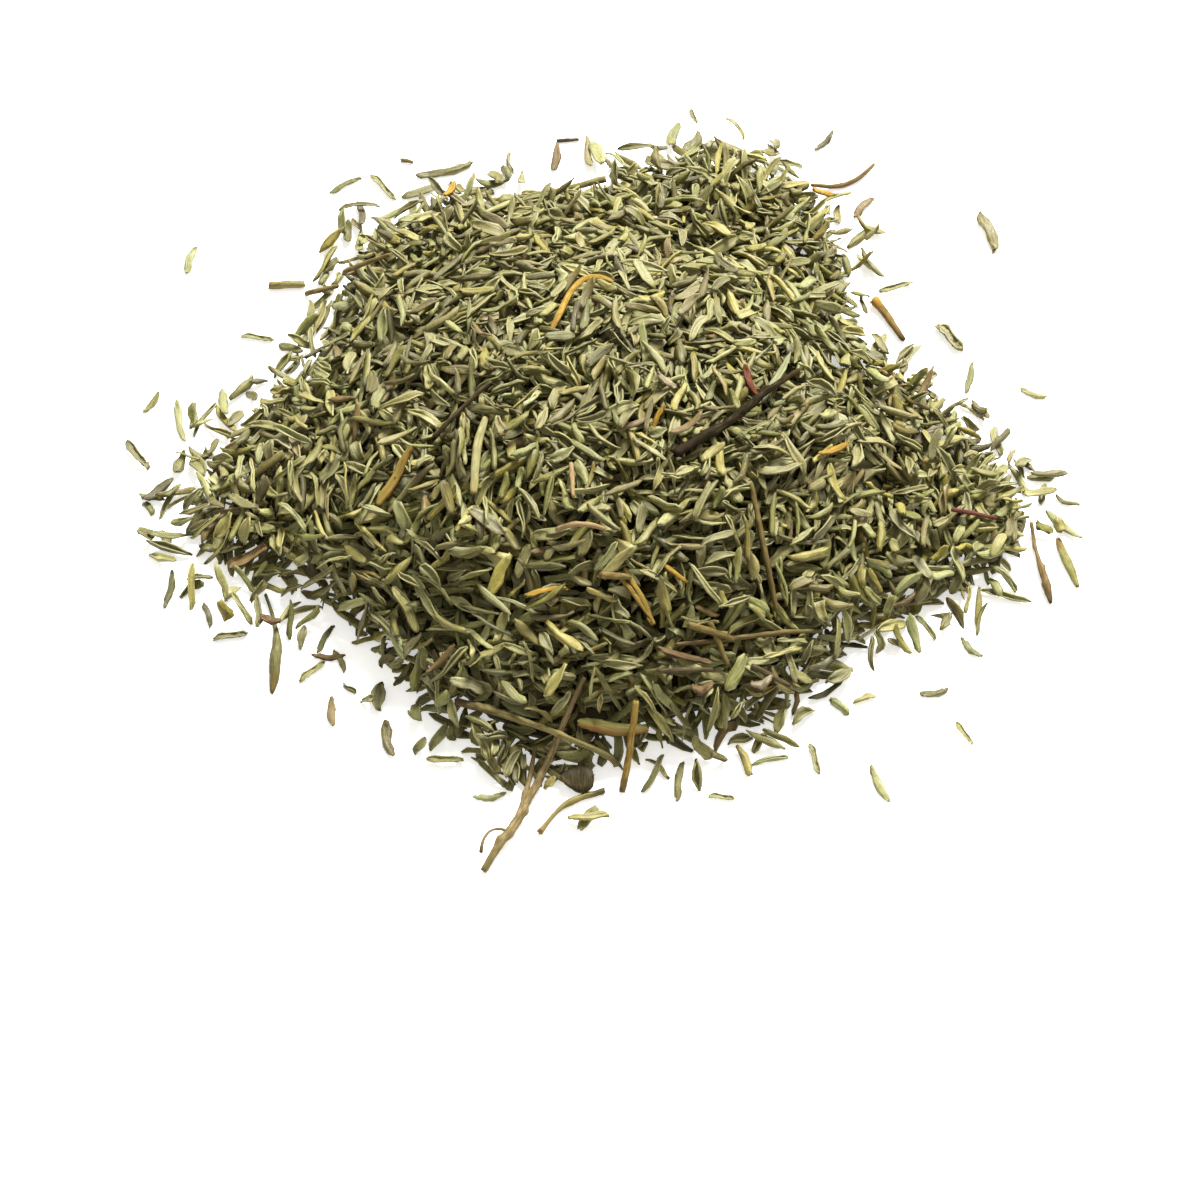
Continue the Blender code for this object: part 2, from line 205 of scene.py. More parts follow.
def maths(tree, how, first, second=0.0):
    """A Math node; each input may be a socket or a number."""
    node = tree.nodes.new("ShaderNodeMath")
    node.operation = how
    for socket, value in zip(node.inputs, (first, second)):
        if isinstance(value, bpy.types.NodeSocket):
            join(tree, value, socket)
        else:
            socket.default_value = value
    return node.outputs["Value"]


def swing(tree, source, amount):
    """A noise brought to swing by some amount about zero."""
    return maths(tree, "MULTIPLY", maths(tree, "SUBTRACT", source, 0.5), amount)


def add_relief(tree, shader, height, strength, distance):
    """Let a socket's value raise fine relief on a material."""
    bump = add_node(tree, "ShaderNodeBump", Strength=strength, Distance=distance)
    join(tree, height, bump.inputs["Height"])
    join(tree, bump.outputs["Normal"], shader.inputs["Normal"])


# %% [markdown]
# The table is a sheet of white paper. Paper in soft light looks grey in a render, so it also
# glows a little, until it is almost pure white and the shadows on it stay faint.

# %% Table
TABLE_HALF = 1.5           # metres from the middle to a side
bm = bmesh.new()
bmesh.ops.create_grid(bm, x_segments=1, y_segments=1, size=TABLE_HALF)
bmesh.ops.translate(bm, verts=bm.verts, vec=(0.0, 0.0, heap_low.z))
table = place_in_scene(bm, "table", smooth=False)
paper, tree, shader = blank_material("white_paper", 0.9)
shader.inputs["Base Color"].default_value = (0.93, 0.93, 0.925, 1.0)
shader.inputs["Emission Color"].default_value = (1.0, 0.995, 0.985, 1.0)
shader.inputs["Emission Strength"].default_value = 0.50
table.data.materials.append(paper)
table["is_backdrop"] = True
print("table", tuple(table.dimensions))

# %% [markdown]
# A soft key light stands high behind the heap, so the far side and the top are bright and
# the near slope falls into shade. A larger, very weak light in front and the white
# surroundings fill that shade just enough for its leaves to be told apart.

# %% Light
def area_light(name, place, size, power, colour=(1.0, 1.0, 1.0)):
    """A square soft light that faces the heap."""
    light = bpy.data.lights.new(name, "AREA")
    light.shape = "SQUARE"
    light.size = size
    light.energy = power
    light.color = colour
    lamp = bpy.data.objects.new(name, light)
    bpy.context.scene.collection.objects.link(lamp)
    lamp.location = place
    lamp.rotation_euler = (-Vector(place)).to_track_quat("-Z", "Y").to_euler()
    return lamp


key = area_light("key", (0.22, 0.54, 0.62), 0.34, 26.5, (1.0, 0.985, 0.95))
fill = area_light("front_fill", (-0.25, -0.75, 0.75), 0.6, 0.3)
world = bpy.data.worlds.new("studio")
world.use_nodes = True
world.node_tree.nodes["Background"].inputs["Color"].default_value = (1.0, 0.98, 0.91, 1.0)
world.node_tree.nodes["Background"].inputs["Strength"].default_value = 0.66
bpy.context.scene.world = world
bpy.context.scene.view_settings.view_transform = "Standard"
print("lights:", ", ".join(f"{lamp.name} {lamp.data.energy:.1f} W" for lamp in (key, fill)))

# %% [markdown]
# Fresh thyme leaves are flat; drying rolls their edges under and sinks the midrib, until
# most are little troughs about 5 mm long with a groove down their back. Rubbing them off
# their stalks breaks some. Nine families of shapes cover that, each with its own measures,
# and a formula draws their outline: widest at the middle, drawn in quickly at both ends.

# %% Leaf families
SHAPE_SEED = 5
VARIANTS = 6               # shapes made of each family
FAMILIES = {               # half width, roll, groove, width at base and tip, length, faces
    "boat": (0.74, 1.45, 0.20, 0.40, 0.26, 5.0, 5, 4),
    "tube": (0.98, 2.40, 0.12, 0.42, 0.30, 5.0, 5, 4),
    "fold": (0.74, 1.20, -0.36, 0.34, 0.22, 5.0, 5, 4),
    "open": (0.68, 0.70, 0.18, 0.34, 0.22, 4.6, 5, 4),
    "sliver": (0.46, 1.60, 0.08, 0.50, 0.28, 5.2, 5, 4),
    "broad": (1.00, 1.00, 0.24, 0.30, 0.30, 5.0, 5, 4),
    "shard": (0.74, 1.15, 0.20, 0.86, 0.60, 2.8, 3, 4),
    "buried": (0.80, 1.10, 0.10, 0.45, 0.30, 5.0, 4, 2),
    "loose": (0.84, 1.45, 0.20, 0.30, 0.20, 5.0, 10, 6),
}
SHARES = {"boat": 0.32, "tube": 0.17, "fold": 0.13, "open": 0.12, "sliver": 0.15,
          "broad": 0.03, "shard": 0.08, "buried": 0.0, "loose": 0.0}
shape_rng = np.random.default_rng(SHAPE_SEED)


def leaf_outline(t, base, tip):
    """Share of the full half width at t, from the leaf's base at 0 to its tip at 1."""
    swell = (1.0 - abs(2.0 * t - 1.0) ** 2.6) ** 0.6
    edge = base + (tip - base) * t
    return edge + (1.0 - edge) * swell


print("half outline of a boat:", [round(leaf_outline(t, 0.40, 0.26), 2)
                                  for t in (0.0, 0.1, 0.25, 0.5, 0.75, 0.9, 1.0)])

# %% [markdown]
# One leaf starts as a flat grid. A first UV map says how far each point lies along and
# across the leaf, for fibres that follow the blade. A second one, for baked textures, gives
# the outside and the inside of the blade half a square each.

# %% A flat leaf
BAKE_EDGE = 0.04           # gap round a leaf in its square of the bake map
BAKE_LONG = 0.92           # length of the leaf in that square
BAKE_DEEP = 0.42           # width of either side of the blade in it


def flat_leaf(along, across):
    """A flat unit grid with both maps and room for the numbers that its material reads."""
    bm = bmesh.new()
    leaf_uv = bm.loops.layers.uv.new("LeafUV")
    bake_uv = bm.loops.layers.uv.new("OFBake")
    for layer in ("inner", "tone", "warm", "pale"):
        bm.verts.layers.float.new(layer)
    bmesh.ops.create_grid(bm, x_segments=along, y_segments=across, size=0.5)
    for face in bm.faces:
        for loop in face.loops:
            place = loop.vert.co.xy + Vector((0.5, 0.5))
            loop[leaf_uv].uv = place
            loop[bake_uv].uv = (BAKE_EDGE + BAKE_LONG * place.x, BAKE_EDGE + BAKE_DEEP * place.y)
    return bm


sheet = flat_leaf(5, 4)
print("a flat leaf:", len(sheet.verts), "points,", len(sheet.faces), "faces")
sheet.free()

# %% [markdown]
# The strip is drawn in to its outline, rolled about its length and grooved down its middle.
# Then the whole leaf is bowed, arched and twisted, and one in three gets a kink where it
# was folded. Slow waves make the blade uneven, and each point is pushed a little at random,
# so that it looks crinkled. Moving a few points by formula keeps a leaf light.

# %% Roll the leaf up
END_PULL = 0.06            # draws the cross rows towards the ends, where the outline turns
BENDS = (0.15, 0.17, 0.50)         # usual bow and arch in millimetres, and twist in radians
KINKS = (0.0, 0.0, 0.0, 0.0, 0.38, -0.38)  # one of these angles is drawn for each leaf
KINK_AT = 0.45             # share of the length at which a kink starts
UNEVEN = 0.10              # how much the width wanders
UNROLLED = 0.18            # how much the roll wanders
WAVE = 0.09                # how far the blade waves sideways and up, in millimetres
CRINKLE = 0.065            # how far a point of the blade strays from its smooth form


def roll_up(bm, half_width, roll, groove, base, tip, length, crinkle, bend):
    """Shape a flat leaf, in millimetres and along X; says whether it has a kink."""
    bow, arch, twist = shape_rng.normal(0.0, 1.0, 3) * BENDS * bend
    kink = bend * shape_rng.choice(KINKS)
    waves = shape_rng.random(4) * 2 * math.pi
    for vert in bm.verts:
        t = vert.co.x + 0.5
        side = vert.co.y * 2.0
        t -= END_PULL * math.sin(2 * math.pi * t)
        half = half_width * leaf_outline(t, base, tip)
        half *= 1.0 + UNEVEN * math.sin(6.0 * t * side + waves[0])
        curl = roll * (1.0 + UNROLLED * math.sin(4.0 * t + waves[1]))
        turn = curl * side
        y = half / curl * math.sin(turn)
        z = half / curl * (math.cos(turn) - 1.0)
        z -= groove * max(0.0, 1.0 - 2.0 * abs(side)) * math.sin(math.pi * (0.1 + 0.8 * t))
        lean = twist * (t - 0.5)
        y, z = y * math.cos(lean) - z * math.sin(lean), y * math.sin(lean) + z * math.cos(lean)
        y += bow * (1.0 - (2 * t - 1) ** 2) + WAVE * math.sin(7.0 * t + waves[2])
        z += arch * (1.0 - (2 * t - 1) ** 2) + WAVE * math.sin(6.0 * t + waves[3])
        past = max(0.0, t - KINK_AT) * length
        x = (t - 0.5) * length - past * (1 - math.cos(kink))
        stray = Vector(shape_rng.normal(0.0, crinkle, 3))
        vert.co = Vector((x, y + past * math.sin(kink), z)) + stray
    return bool(kink)


# %% [markdown]
# A blade without a thickness would have no rim to catch the light, so solidify gives it a
# wall. The points that this adds are marked as the inner side, which is felted and paler on
# a thyme leaf. With a few dozen faces each, thousands of leaves are no burden.

# %% Give the leaf a wall
LEAF_WALL = 0.17           # thickness of the blade in millimetres


def thicken(bm, wall):
    """Give a rolled blade its wall, with the new side marked and mapped as the inner one."""
    leaf_uv, bake_uv = bm.loops.layers.uv["LeafUV"], bm.loops.layers.uv["OFBake"]
    inner = bm.verts.layers.float["inner"]
    bmesh.ops.recalc_face_normals(bm, faces=bm.faces)
    if sum(face.normal.z for face in bm.faces) < 0:
        bmesh.ops.reverse_faces(bm, faces=bm.faces)
    outer_verts, outer_faces = set(bm.verts), set(bm.faces)
    bmesh.ops.solidify(bm, geom=bm.faces[:], thickness=wall)
    for vert in bm.verts:
        vert[inner] = 0.0 if vert in outer_verts else 1.0
    for face in bm.faces:
        if face in outer_faces:
            continue
        for loop in face.loops:
            if loop.vert not in outer_verts:
                u, v = loop[leaf_uv].uv
                loop[bake_uv].uv = (BAKE_EDGE + BAKE_LONG * u, 1.0 - BAKE_EDGE - BAKE_DEEP * v)
    bmesh.ops.recalc_face_normals(bm, faces=bm.faces)


def make_leaf(name, half_width, roll, groove, base, tip, length, along, across,
              wall=LEAF_WALL, crinkle=CRINKLE, bend=1.0):
    """A dried leaf in millimetres, centred, along X with the roll's open side down."""
    bm = flat_leaf(along, across)
    kinked = roll_up(bm, half_width, roll, groove, base, tip, length, crinkle, bend)
    thicken(bm, wall)
    low = Vector([min(vert.co[k] for vert in bm.verts) for k in range(3)])
    high = Vector([max(vert.co[k] for vert in bm.verts) for k in range(3)])
    bmesh.ops.translate(bm, verts=bm.verts, vec=-(low + high) / 2)
    mesh = bpy.data.meshes.new(name)
    bm.to_mesh(mesh)
    bm.free()
    mesh.shade_smooth()
    mesh["kinked"] = kinked
    return mesh


# %% [markdown]
# All shapes are made once, six of each family. Some get plain shapes and some fine ones: a
# leaf that is nearly buried shows little, and one that lies alone on the table shows
# everything. Kinked leaves perch badly, so where leaves lie singly they are picked seldom.

# %% Make the leaf shapes
CALM_BEND = 0.4            # share of the usual bends in leaves fitted to a loaded piece
KINKED_ODDS = 0.15         # how often a kinked leaf is taken where leaves lie singly
LEAF_SHAPES = [make_leaf(f"{family}_{n}", *sizes, bend=CALM_BEND if family == "loose" else 1.0)
               for family, sizes in FAMILIES.items() for n in range(VARIANTS)]
ODDS = np.repeat(list(SHARES.values()), VARIANTS) / VARIANTS
STRAIGHT_ODDS = ODDS * [KINKED_ODDS if mesh["kinked"] else 1.0 for mesh in LEAF_SHAPES]
STRAIGHT_ODDS /= STRAIGHT_ODDS.sum()


def kinds_of(family):
    """The numbers of one family's shapes."""
    return [k for k, mesh in enumerate(LEAF_SHAPES) if mesh.name.startswith(family)]


def mesh_points(mesh):
    """The mesh's points as an array of rows."""
    flat = np.zeros(len(mesh.vertices) * 3, np.float32)
    mesh.vertices.foreach_get("co", flat)
    return flat.reshape(-1, 3).astype(float)


def mesh_samples(mesh, points):
    """The points with the middles of edges and faces, dense enough to fill the map below."""
    edges = np.array([points[list(edge.vertices)].mean(axis=0) for edge in mesh.edges])
    faces = np.array([points[list(face.vertices)].mean(axis=0) for face in mesh.polygons])
    return np.vstack((points, edges, faces))


SHAPE_POINTS = [mesh_points(mesh) for mesh in LEAF_SHAPES]
SAMPLES = [mesh_samples(mesh, points) for mesh, points in zip(LEAF_SHAPES, SHAPE_POINTS)]
REACH = [np.abs(points).max(0) for points in SHAPE_POINTS]
for mesh, reach in zip(LEAF_SHAPES, REACH):
    print(mesh.name, len(mesh.polygons), "faces, half size", reach.round(2))

# %% [markdown]
# The sprinkling works on maps seen from above, with a grid finer than half a leaf's width.
# The first is the height that the heap must reach, read by dropping a ray onto the loaded
# mound in the middle of each map cell.

# %% The mound's height map
CELL = 0.4                 # millimetres
MARGIN = 9.0               # the maps reach this far past the mound
RAY_FROM = 0.1             # rays start this high, in metres
DOWN = Vector((0, 0, -1))

MAP_LOW = np.array([heap_low.x, heap_low.y]) / MM - MARGIN
MAP_HIGH = np.array([heap_high.x, heap_high.y]) / MM + MARGIN
MAP_SIZE = np.ceil((MAP_HIGH - MAP_LOW) / CELL).astype(int)


def ray_tree(piece):
    """A search tree of a loaded piece's faces, for dropping rays on it."""
    return BVHTree.FromPolygons([v.co for v in piece.data.vertices],
                                [p.vertices for p in piece.data.polygons])


def height_under_rays(piece, box):
    """Height of a mesh's top over each cell of the map, in millimetres, zero beside it."""
    tree = ray_tree(piece)
    heights = np.zeros(MAP_SIZE)
    first, last = ((np.array(corner)[:2] / MM - MAP_LOW) / CELL for corner in box)
    first = np.clip(first.astype(int), 0, MAP_SIZE - 1)
    last = np.clip(last.astype(int) + 1, 0, MAP_SIZE)
    for i in range(first[0], last[0]):
        for j in range(first[1], last[1]):
            x, y = MAP_LOW + CELL * np.array([i + 0.5, j + 0.5])
            hit = tree.ray_cast(Vector((x * MM, y * MM, RAY_FROM)), DOWN)[0]
            if hit is not None:
                heights[i, j] = hit.z / MM
    return heights


mound = height_under_rays(nodes["leaf_heap"], (heap_low, heap_high))
print("map", MAP_SIZE, "mound volume", round(mound.sum() * CELL**2), "cubic mm")

# %% [markdown]
# Nobody sees deeper into a heap than a few leaves. So it gets a solid core that many leaves
# below its surface, and the ground map, which grows with every leaf that lands, starts as
# that core. Towards the thin foot the core ends, because it would show there.

# %% The core's height map
SHELL = 4.2                # depth of real leaves over the core, besides its narrower sides
CORE_INSET = 6.0           # how far the core's sides stand in from the mound's
SKIRT = 0.42               # share of the height the core keeps near the mound's edge
SKIRT_INSET = 2.6
WAYS = 24                  # directions in which a map is shifted to draw it in


def drawn_in(heights, inset):
    """The heights with their sides moved inwards by some millimetres."""
    lower = heights.copy()
    for k in range(WAYS):
        turn = 2 * math.pi * k / WAYS
        shift = np.round(inset / CELL * np.array([math.cos(turn), math.sin(turn)])).astype(int)
        lower = np.minimum(lower, np.roll(heights, tuple(shift), (0, 1)))
    return lower


core = np.maximum(np.clip(drawn_in(mound, CORE_INSET) - SHELL, 0.0, None),
                  SKIRT * drawn_in(mound, SKIRT_INSET))
ground = core.copy()
print("core volume", round(core.sum() * CELL**2), "cubic mm")

# %% [markdown]
# The twigs, the husks and the single leaves already have their places, and the sprinkled
# leaves must leave them in sight. So their heights are mapped too: those of the named
# pieces in the heap, and the spots where single leaves lie on the table beside it.

# %% Maps of the twigs and single leaves
LOOSE = [name for name in nodes if name.startswith("leaf_") and name != "leaf_heap"]
NAMED = [name for name in nodes if name != "leaf_heap" and name not in LOOSE]


def cells_of(x, y):
    """Map cells of points in millimetres, kept inside the map."""
    i = np.clip(((x - MAP_LOW[0]) / CELL).astype(int), 0, MAP_SIZE[0] - 1)
    j = np.clip(((y - MAP_LOW[1]) / CELL).astype(int), 0, MAP_SIZE[1] - 1)
    return i, j


def widened(heights, reach):
    """Each cell's highest neighbour within some cells of it."""
    for axis in (0, 1):
        heights = np.max([np.roll(heights, k, axis) for k in range(-reach, reach + 1)], axis=0)
    return heights


def tops_of(names):
    """Height map of several loaded pieces, zero beside them."""
    tops = np.zeros(MAP_SIZE)
    for name in names:
        tops = np.maximum(tops, height_under_rays(nodes[name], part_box(name)))
    return tops


on_top = tops_of(NAMED)
near_loose = widened(tops_of(LOOSE), 1) > 0.0
print("cells under twigs and husks:", int((on_top > 0).sum()),
      "and at single leaves:", int(near_loose.sum()))

# %% [markdown]
# One sprinkled leaf is a row of numbers: where its middle is, its heading, how it is tipped
# and rolled, which shape it has, how long and thick it is, and how far it is bent besides.
# A row is quick to try and to throw away, and a mesh is made of it only at the end.

# %% How one leaf lies
SEED = 11
FLOOR_GAP = 0.02           # nothing lies lower than this over the table, in millimetres
rng = np.random.default_rng(SEED)


def leaf_turn(heading, slope, roll):
    """Rotation of a leaf: rolled about its length, tipped, then turned to its heading."""
    turn = (Matrix.Rotation(heading, 3, "Z") @ Matrix.Rotation(-math.atan(slope), 3, "Y")
            @ Matrix.Rotation(roll, 3, "X"))
    return np.array(turn)


def placed(points, row):
    """A shape's points at the place, turn and size of one leaf."""
    x, y, z, heading, slope, roll, kind, stretch, girth, bow, arch = row
    sized = points[int(kind)] * np.array([stretch, girth, girth])
    along = sized[:, 0] / (REACH[int(kind)][0] * stretch)
    sized[:, 1] += bow * (0.5 - along**2)
    sized[:, 2] += arch * (0.5 - along**2)
    return sized @ leaf_turn(heading, slope, roll).T + np.array([x, y, z])


def below_floor(row, shapes=SAMPLES):
    """How far a leaf has to be raised to lie on the table instead of in it."""
    return max(0.0, FLOOR_GAP - placed(shapes, row)[:, 2].min())


def settle(row, ground):
    """Make a leaf part of the ground for the next one."""
    points = placed(SAMPLES, row)
    np.maximum.at(ground, cells_of(points[:, 0], points[:, 1]), points[:, 2])


tried = placed(SHAPE_POINTS, [0.0, 0.0, 3.0, 0.5, 0.2, 0.0, 0, 1.0, 1.0, 0.0, 0.0])
print("a tried leaf spans", np.ptp(tried, axis=0).round(2), "mm")

# %% [markdown]
# A falling leaf behaves like a stiff stick. It comes to rest on the two highest bumps either
# side of its middle, which gives its height and its tilt. Where one bump under its middle is
# higher than both, it perches there and tips to one side. This needs no simulation, only a
# look at the ground below the leaf, so that thousands land within seconds.

# %% Come to rest
PROBES = 9                 # places looked at along a leaf: its middle, and as many each way
MIDDLE = PROBES // 2
STEEPEST = 0.85            # slope limit of a resting leaf
TIPPED = 0.12              # a perched leaf tips nearly all the way to one side or the other


def footprint(x, y, heading, along, across):
    """Map cells below a grid of places on each leaf, in millimetres from its middle."""
    ahead, aside = np.cos(heading)[:, None, None], np.sin(heading)[:, None, None]
    s, c = along[None, :, None], across[None, None, :]
    return cells_of(x[:, None, None] + ahead * s - aside * c,
                    y[:, None, None] + aside * s + ahead * c)


def come_to_rest(x, y, heading, half_length, half_width, ground, pick):
    """Height under the middle and slope of leaves that could land here, one per heading."""
    places = np.linspace(-0.9, 0.9, PROBES) * half_length
    across = np.linspace(-0.65, 0.65, 3) * half_width
    heights = ground[footprint(x, y, heading, places, across)].max(axis=2)
    back, front = places[:MIDDLE, None], places[None, MIDDLE + 1:]
    low_end, high_end = heights[:, :MIDDLE, None], heights[:, None, MIDDLE + 1:]
    at_middle = (low_end * front - high_end * back) / (front - back)
    slopes = (high_end - low_end) / (front - back)
    rows = np.arange(len(heading))
    best = at_middle.reshape(len(rows), -1).argmax(axis=1)
    level = at_middle.reshape(len(rows), -1)[rows, best]
    slope = slopes.reshape(len(rows), -1)[rows, best]
    middle = heights[:, MIDDLE]
    least = ((heights[:, MIDDLE + 1:] - middle[:, None]) / places[MIDDLE + 1:]).max(axis=1)
    most = ((middle[:, None] - heights[:, :MIDDLE]) / -places[:MIDDLE]).min(axis=1)
    tipped = least + (most - least) * np.where(pick < 0.5, TIPPED, 1.0 - TIPPED)
    perched = middle > level
    level = np.where(perched, middle, level)
    slope = np.clip(np.where(perched, tipped, slope), -STEEPEST, STEEPEST)
    return level, slope


def covered_share(x, y, heading, half_length, half_width, taken):
    """Share of a leaf's footprint that would lie over a twig or husk, one per heading."""
    along = np.linspace(-1.0, 1.0, 13) * half_length
    across = np.linspace(-0.9, 0.9, 5) * half_width
    return taken[footprint(x, y, heading, along, across)].mean(axis=(1, 2))


at_origin = np.zeros(1)
level, slope = come_to_rest(at_origin, at_origin, at_origin, 2.5, 0.7, ground, at_origin)
print("a leaf dropped on the bare core rests at", level.round(2), "mm, slope", slope.round(2))

# %% [markdown]
# Leaves differ in length and thickness, and they come down belly up, back up or on edge.
# Each is drawn at random round its usual measures, within limits, so that no giant or dwarf
# leaf turns up.

# %% Draw a leaf at random
STRETCH = (0.94, 0.20, 0.5, 1.45)  # length against the shape's: usual, spread, least, most
GIRTH = (0.98, 0.16, 0.65, 1.4)    # the same for its width and height
ROLL_SPREAD = 0.35         # radians
BACK_DOWN = 0.52           # a draw above this turns a leaf over
ON_EDGE = 0.86             # and above this it is turned a quarter more, onto its edge
BEND = 0.12                # how much one leaf is bent besides its shape's own bend


def varied(usual, spread, least, most):
    """A random share near the usual one, within limits."""
    return float(np.clip(rng.normal(usual, spread), least, most))


def draw_leaf():
    """A random shape with its stretch, its girth and its roll."""
    kind = int(rng.choice(len(LEAF_SHAPES), p=ODDS))
    stretch, girth = varied(*STRETCH), varied(*GIRTH)
    lying = rng.random()
    roll = rng.normal(0.0, ROLL_SPREAD)
    if lying > BACK_DOWN:
        roll += math.pi
    if lying > ON_EDGE:
        roll += math.pi / 2
    return kind, stretch, girth, roll


def rolled_half_sizes(kind, girth, roll):
    """Half the width and half the height of a leaf that is rolled about its length."""
    half_y, half_z = REACH[kind][1] * girth, REACH[kind][2] * girth
    turn_c, turn_s = abs(math.cos(roll)), abs(math.sin(roll))
    return turn_c * half_y + turn_s * half_z, turn_c * half_z + turn_s * half_y


print("share of leaves on edge:", round(1.0 - ON_EDGE, 2))

# %% [markdown]
# A heap grows where it is still low. So each leaf is aimed at a spot picked by how much the
# ground lacks there against the shape to reach, a few landings close by are looked at, and
# it takes the one where it would stick out least and cover no twig. It also sinks in a
# little between its neighbours, as soft leaves do.

# %% Sprinkle
REFRESH = 40               # leaves between two looks at where the heap is low
TRIES = 6                  # landings looked at before the lowest is taken
SCATTER = 0.5              # how far these lie from the spot aimed at
SPARE = 8.0                # how strongly leaves keep off the twigs and husks
COVERS_MOST = 0.08         # share of a leaf that may lie over a twig or husk
SINK = 0.45                # how far a leaf works itself in between those it lands on
ENOUGH = 0.006             # mean lack, in mm to the power 1.5, at which the heap is full


def blurred(heights, reach=2):
    """Each cell's mean with its neighbours, so that a gap thinner than a leaf is no gap."""
    for axis in (0, 1):
        heights = sum(np.roll(heights, k, axis) for k in range(-reach, reach + 1))
        heights = heights / (2 * reach + 1)
    return heights


def aim(running):
    """A random map cell, picked by the running sum of the cells' weights."""
    cell = np.searchsorted(running, rng.random() * running[-1])
    return divmod(min(int(cell), len(running) - 1), MAP_SIZE[1])


def sprinkle(target, ground, taken, limit):
    """Drop leaves until the ground reaches the target; returns one row per leaf."""
    rows = []
    for count in range(limit):
        if count % REFRESH == 0:
            lack = np.clip(target - blurred(ground), 0.0, None) ** 1.5
            lack[target <= 0.0] = 0.0
            running = np.cumsum(lack.ravel())
            if running[-1] < ENOUGH * (target > 0.0).sum():
                break
        i, j = aim(running)
        kind, stretch, girth, roll = draw_leaf()
        half_length = REACH[kind][0] * stretch
        half_width, half_height = rolled_half_sizes(kind, girth, roll)
        xs = MAP_LOW[0] + CELL * (i + 0.5) + rng.normal(0.0, SCATTER, TRIES)
        ys = MAP_LOW[1] + CELL * (j + 0.5) + rng.normal(0.0, SCATTER, TRIES)
        headings = rng.random(TRIES) * 2 * math.pi
        levels, slopes = come_to_rest(xs, ys, headings, half_length, half_width, ground,
                                      rng.random(TRIES))
        covered = covered_share(xs, ys, headings, half_length, half_width, taken)
        high = levels + np.abs(slopes) * half_length * 0.7 - target[cells_of(xs, ys)]
        k = int((high + SPARE * covered).argmin())
        if covered[k] > COVERS_MOST:
            continue
        row = [xs[k], ys[k], levels[k] + half_height - SINK, headings[k], slopes[k], roll,
               kind, stretch, girth, *rng.normal(0.0, BEND, 2)]
        points = placed(SAMPLES, row)
        lift = max(0.0, FLOOR_GAP - points[:, 2].min())
        row[2] += lift
        np.maximum.at(ground, cells_of(points[:, 0], points[:, 1]), points[:, 2] + lift)
        rows.append(row)
    return np.array(rows)


# %% [markdown]
# At the heap's foot and beside it, leaves lie singly, and each one shows. There a leaf is
# laid at a given place with a given heading, but only if it would not come to lie too high:
# a leaf that stands on others out there looks as if it floated.

# %% Lay one leaf
STRAY_STRETCH = (0.92, 0.22, 0.45)         # usual, spread and least length
STRAY_GIRTH = (1.10, 0.18, 0.75, 1.5)
LONGEST_STRAY = 1.35
STRAY_ROLL = 0.25          # radians


def lay_one(x, y, heading, highest, longest=LONGEST_STRAY):
    """The row of a leaf laid at a given place, or None where it would lie too high."""
    kind = int(rng.choice(len(LEAF_SHAPES), p=STRAIGHT_ODDS))
    stretch, girth = varied(*STRAY_STRETCH, longest), varied(*STRAY_GIRTH)
    roll = rng.normal(0.0, STRAY_ROLL) + (math.pi if rng.random() > 0.5 else 0.0)
    level, slope = come_to_rest(np.array([x]), np.array([y]), np.array([heading]),
                                REACH[kind][0] * stretch, REACH[kind][1] * girth, ground,
                                rng.random(1))
    if level[0] > highest:
        return None
    row = [x, y, float(level[0]) + REACH[kind][2] * girth * 0.9, heading, float(slope[0]),
           roll, kind, stretch, girth, *rng.normal(0.0, BEND, 2)]
    row[2] += below_floor(row)
    return row


HEADINGS_TRIED = 12


def fill_bare(cells, highest, longest, taken, most):
    """Lay leaves low down over each cell that is still bare; returns their rows."""
    rows = []
    for i, j in rng.permutation(cells):
        if ground[i, j] > core[i, j]:
            continue
        x, y = MAP_LOW + CELL * (np.array([i, j]) + 0.5)
        for heading in rng.random(HEADINGS_TRIED) * 2 * math.pi:
            row = lay_one(x, y, heading, highest, longest)
            if row is None:
                continue
            points = placed(SAMPLES, row)
            if taken[cells_of(points[:, 0], points[:, 1])].mean() < most:
                rows.append(row)
                settle(row, ground)
                break
    return rows


# %% [markdown]
# A poured heap isn't smooth. The shape to reach is the loaded mound with soft hollows and
# humps added by noise, and its thin foot is raised to at least a layer of leaves. A tongue
# of leaves also lies under the crossing twig at the front, a little in front of the mound.

# %% The shape to reach
RUFFLE = 2.6               # the hollows and humps, as the height of the noise in mm
RUFFLE_SIZE = 8.5          # millimetres
RUFFLE_FROM = 5.0          # they fade out where the mound is lower than this
FOOT_FROM = 0.15           # the foot is the mound where it is higher than this
FOOT_HEIGHT = 2.1
TONGUE_AHEAD = 1.8         # how far the tongue lies in front of the crossing twig's middle
TONGUE_HALF = (8.0, 4.6)   # its half length and half width
TONGUE_HEIGHT = 2.1

form = mound.copy()
for i, j in np.argwhere(mound > 0.0):
    place = Vector((*(MAP_LOW + CELL * np.array([i, j])), 0.0)) / RUFFLE_SIZE
    form[i, j] += RUFFLE * noise.noise(place) * min(1.0, mound[i, j] / RUFFLE_FROM)
foot = mound > FOOT_FROM
form[foot] = np.maximum(form[foot], FOOT_HEIGHT)
cell_x, cell_y = np.meshgrid(*(MAP_LOW[k] + CELL * (np.arange(MAP_SIZE[k]) + 0.5)
                               for k in (0, 1)), indexing="ij")
tongue_at = [(low + high) / 2 / MM for low, high in zip(*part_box("crossing_twig"))]
tongue = (((cell_x - tongue_at[0]) / TONGUE_HALF[0]) ** 2
          + ((cell_y - tongue_at[1] + TONGUE_AHEAD) / TONGUE_HALF[1]) ** 2 < 1.0)
print("foot:", int(foot.sum()), "cells, tongue:", int(tongue.sum()))

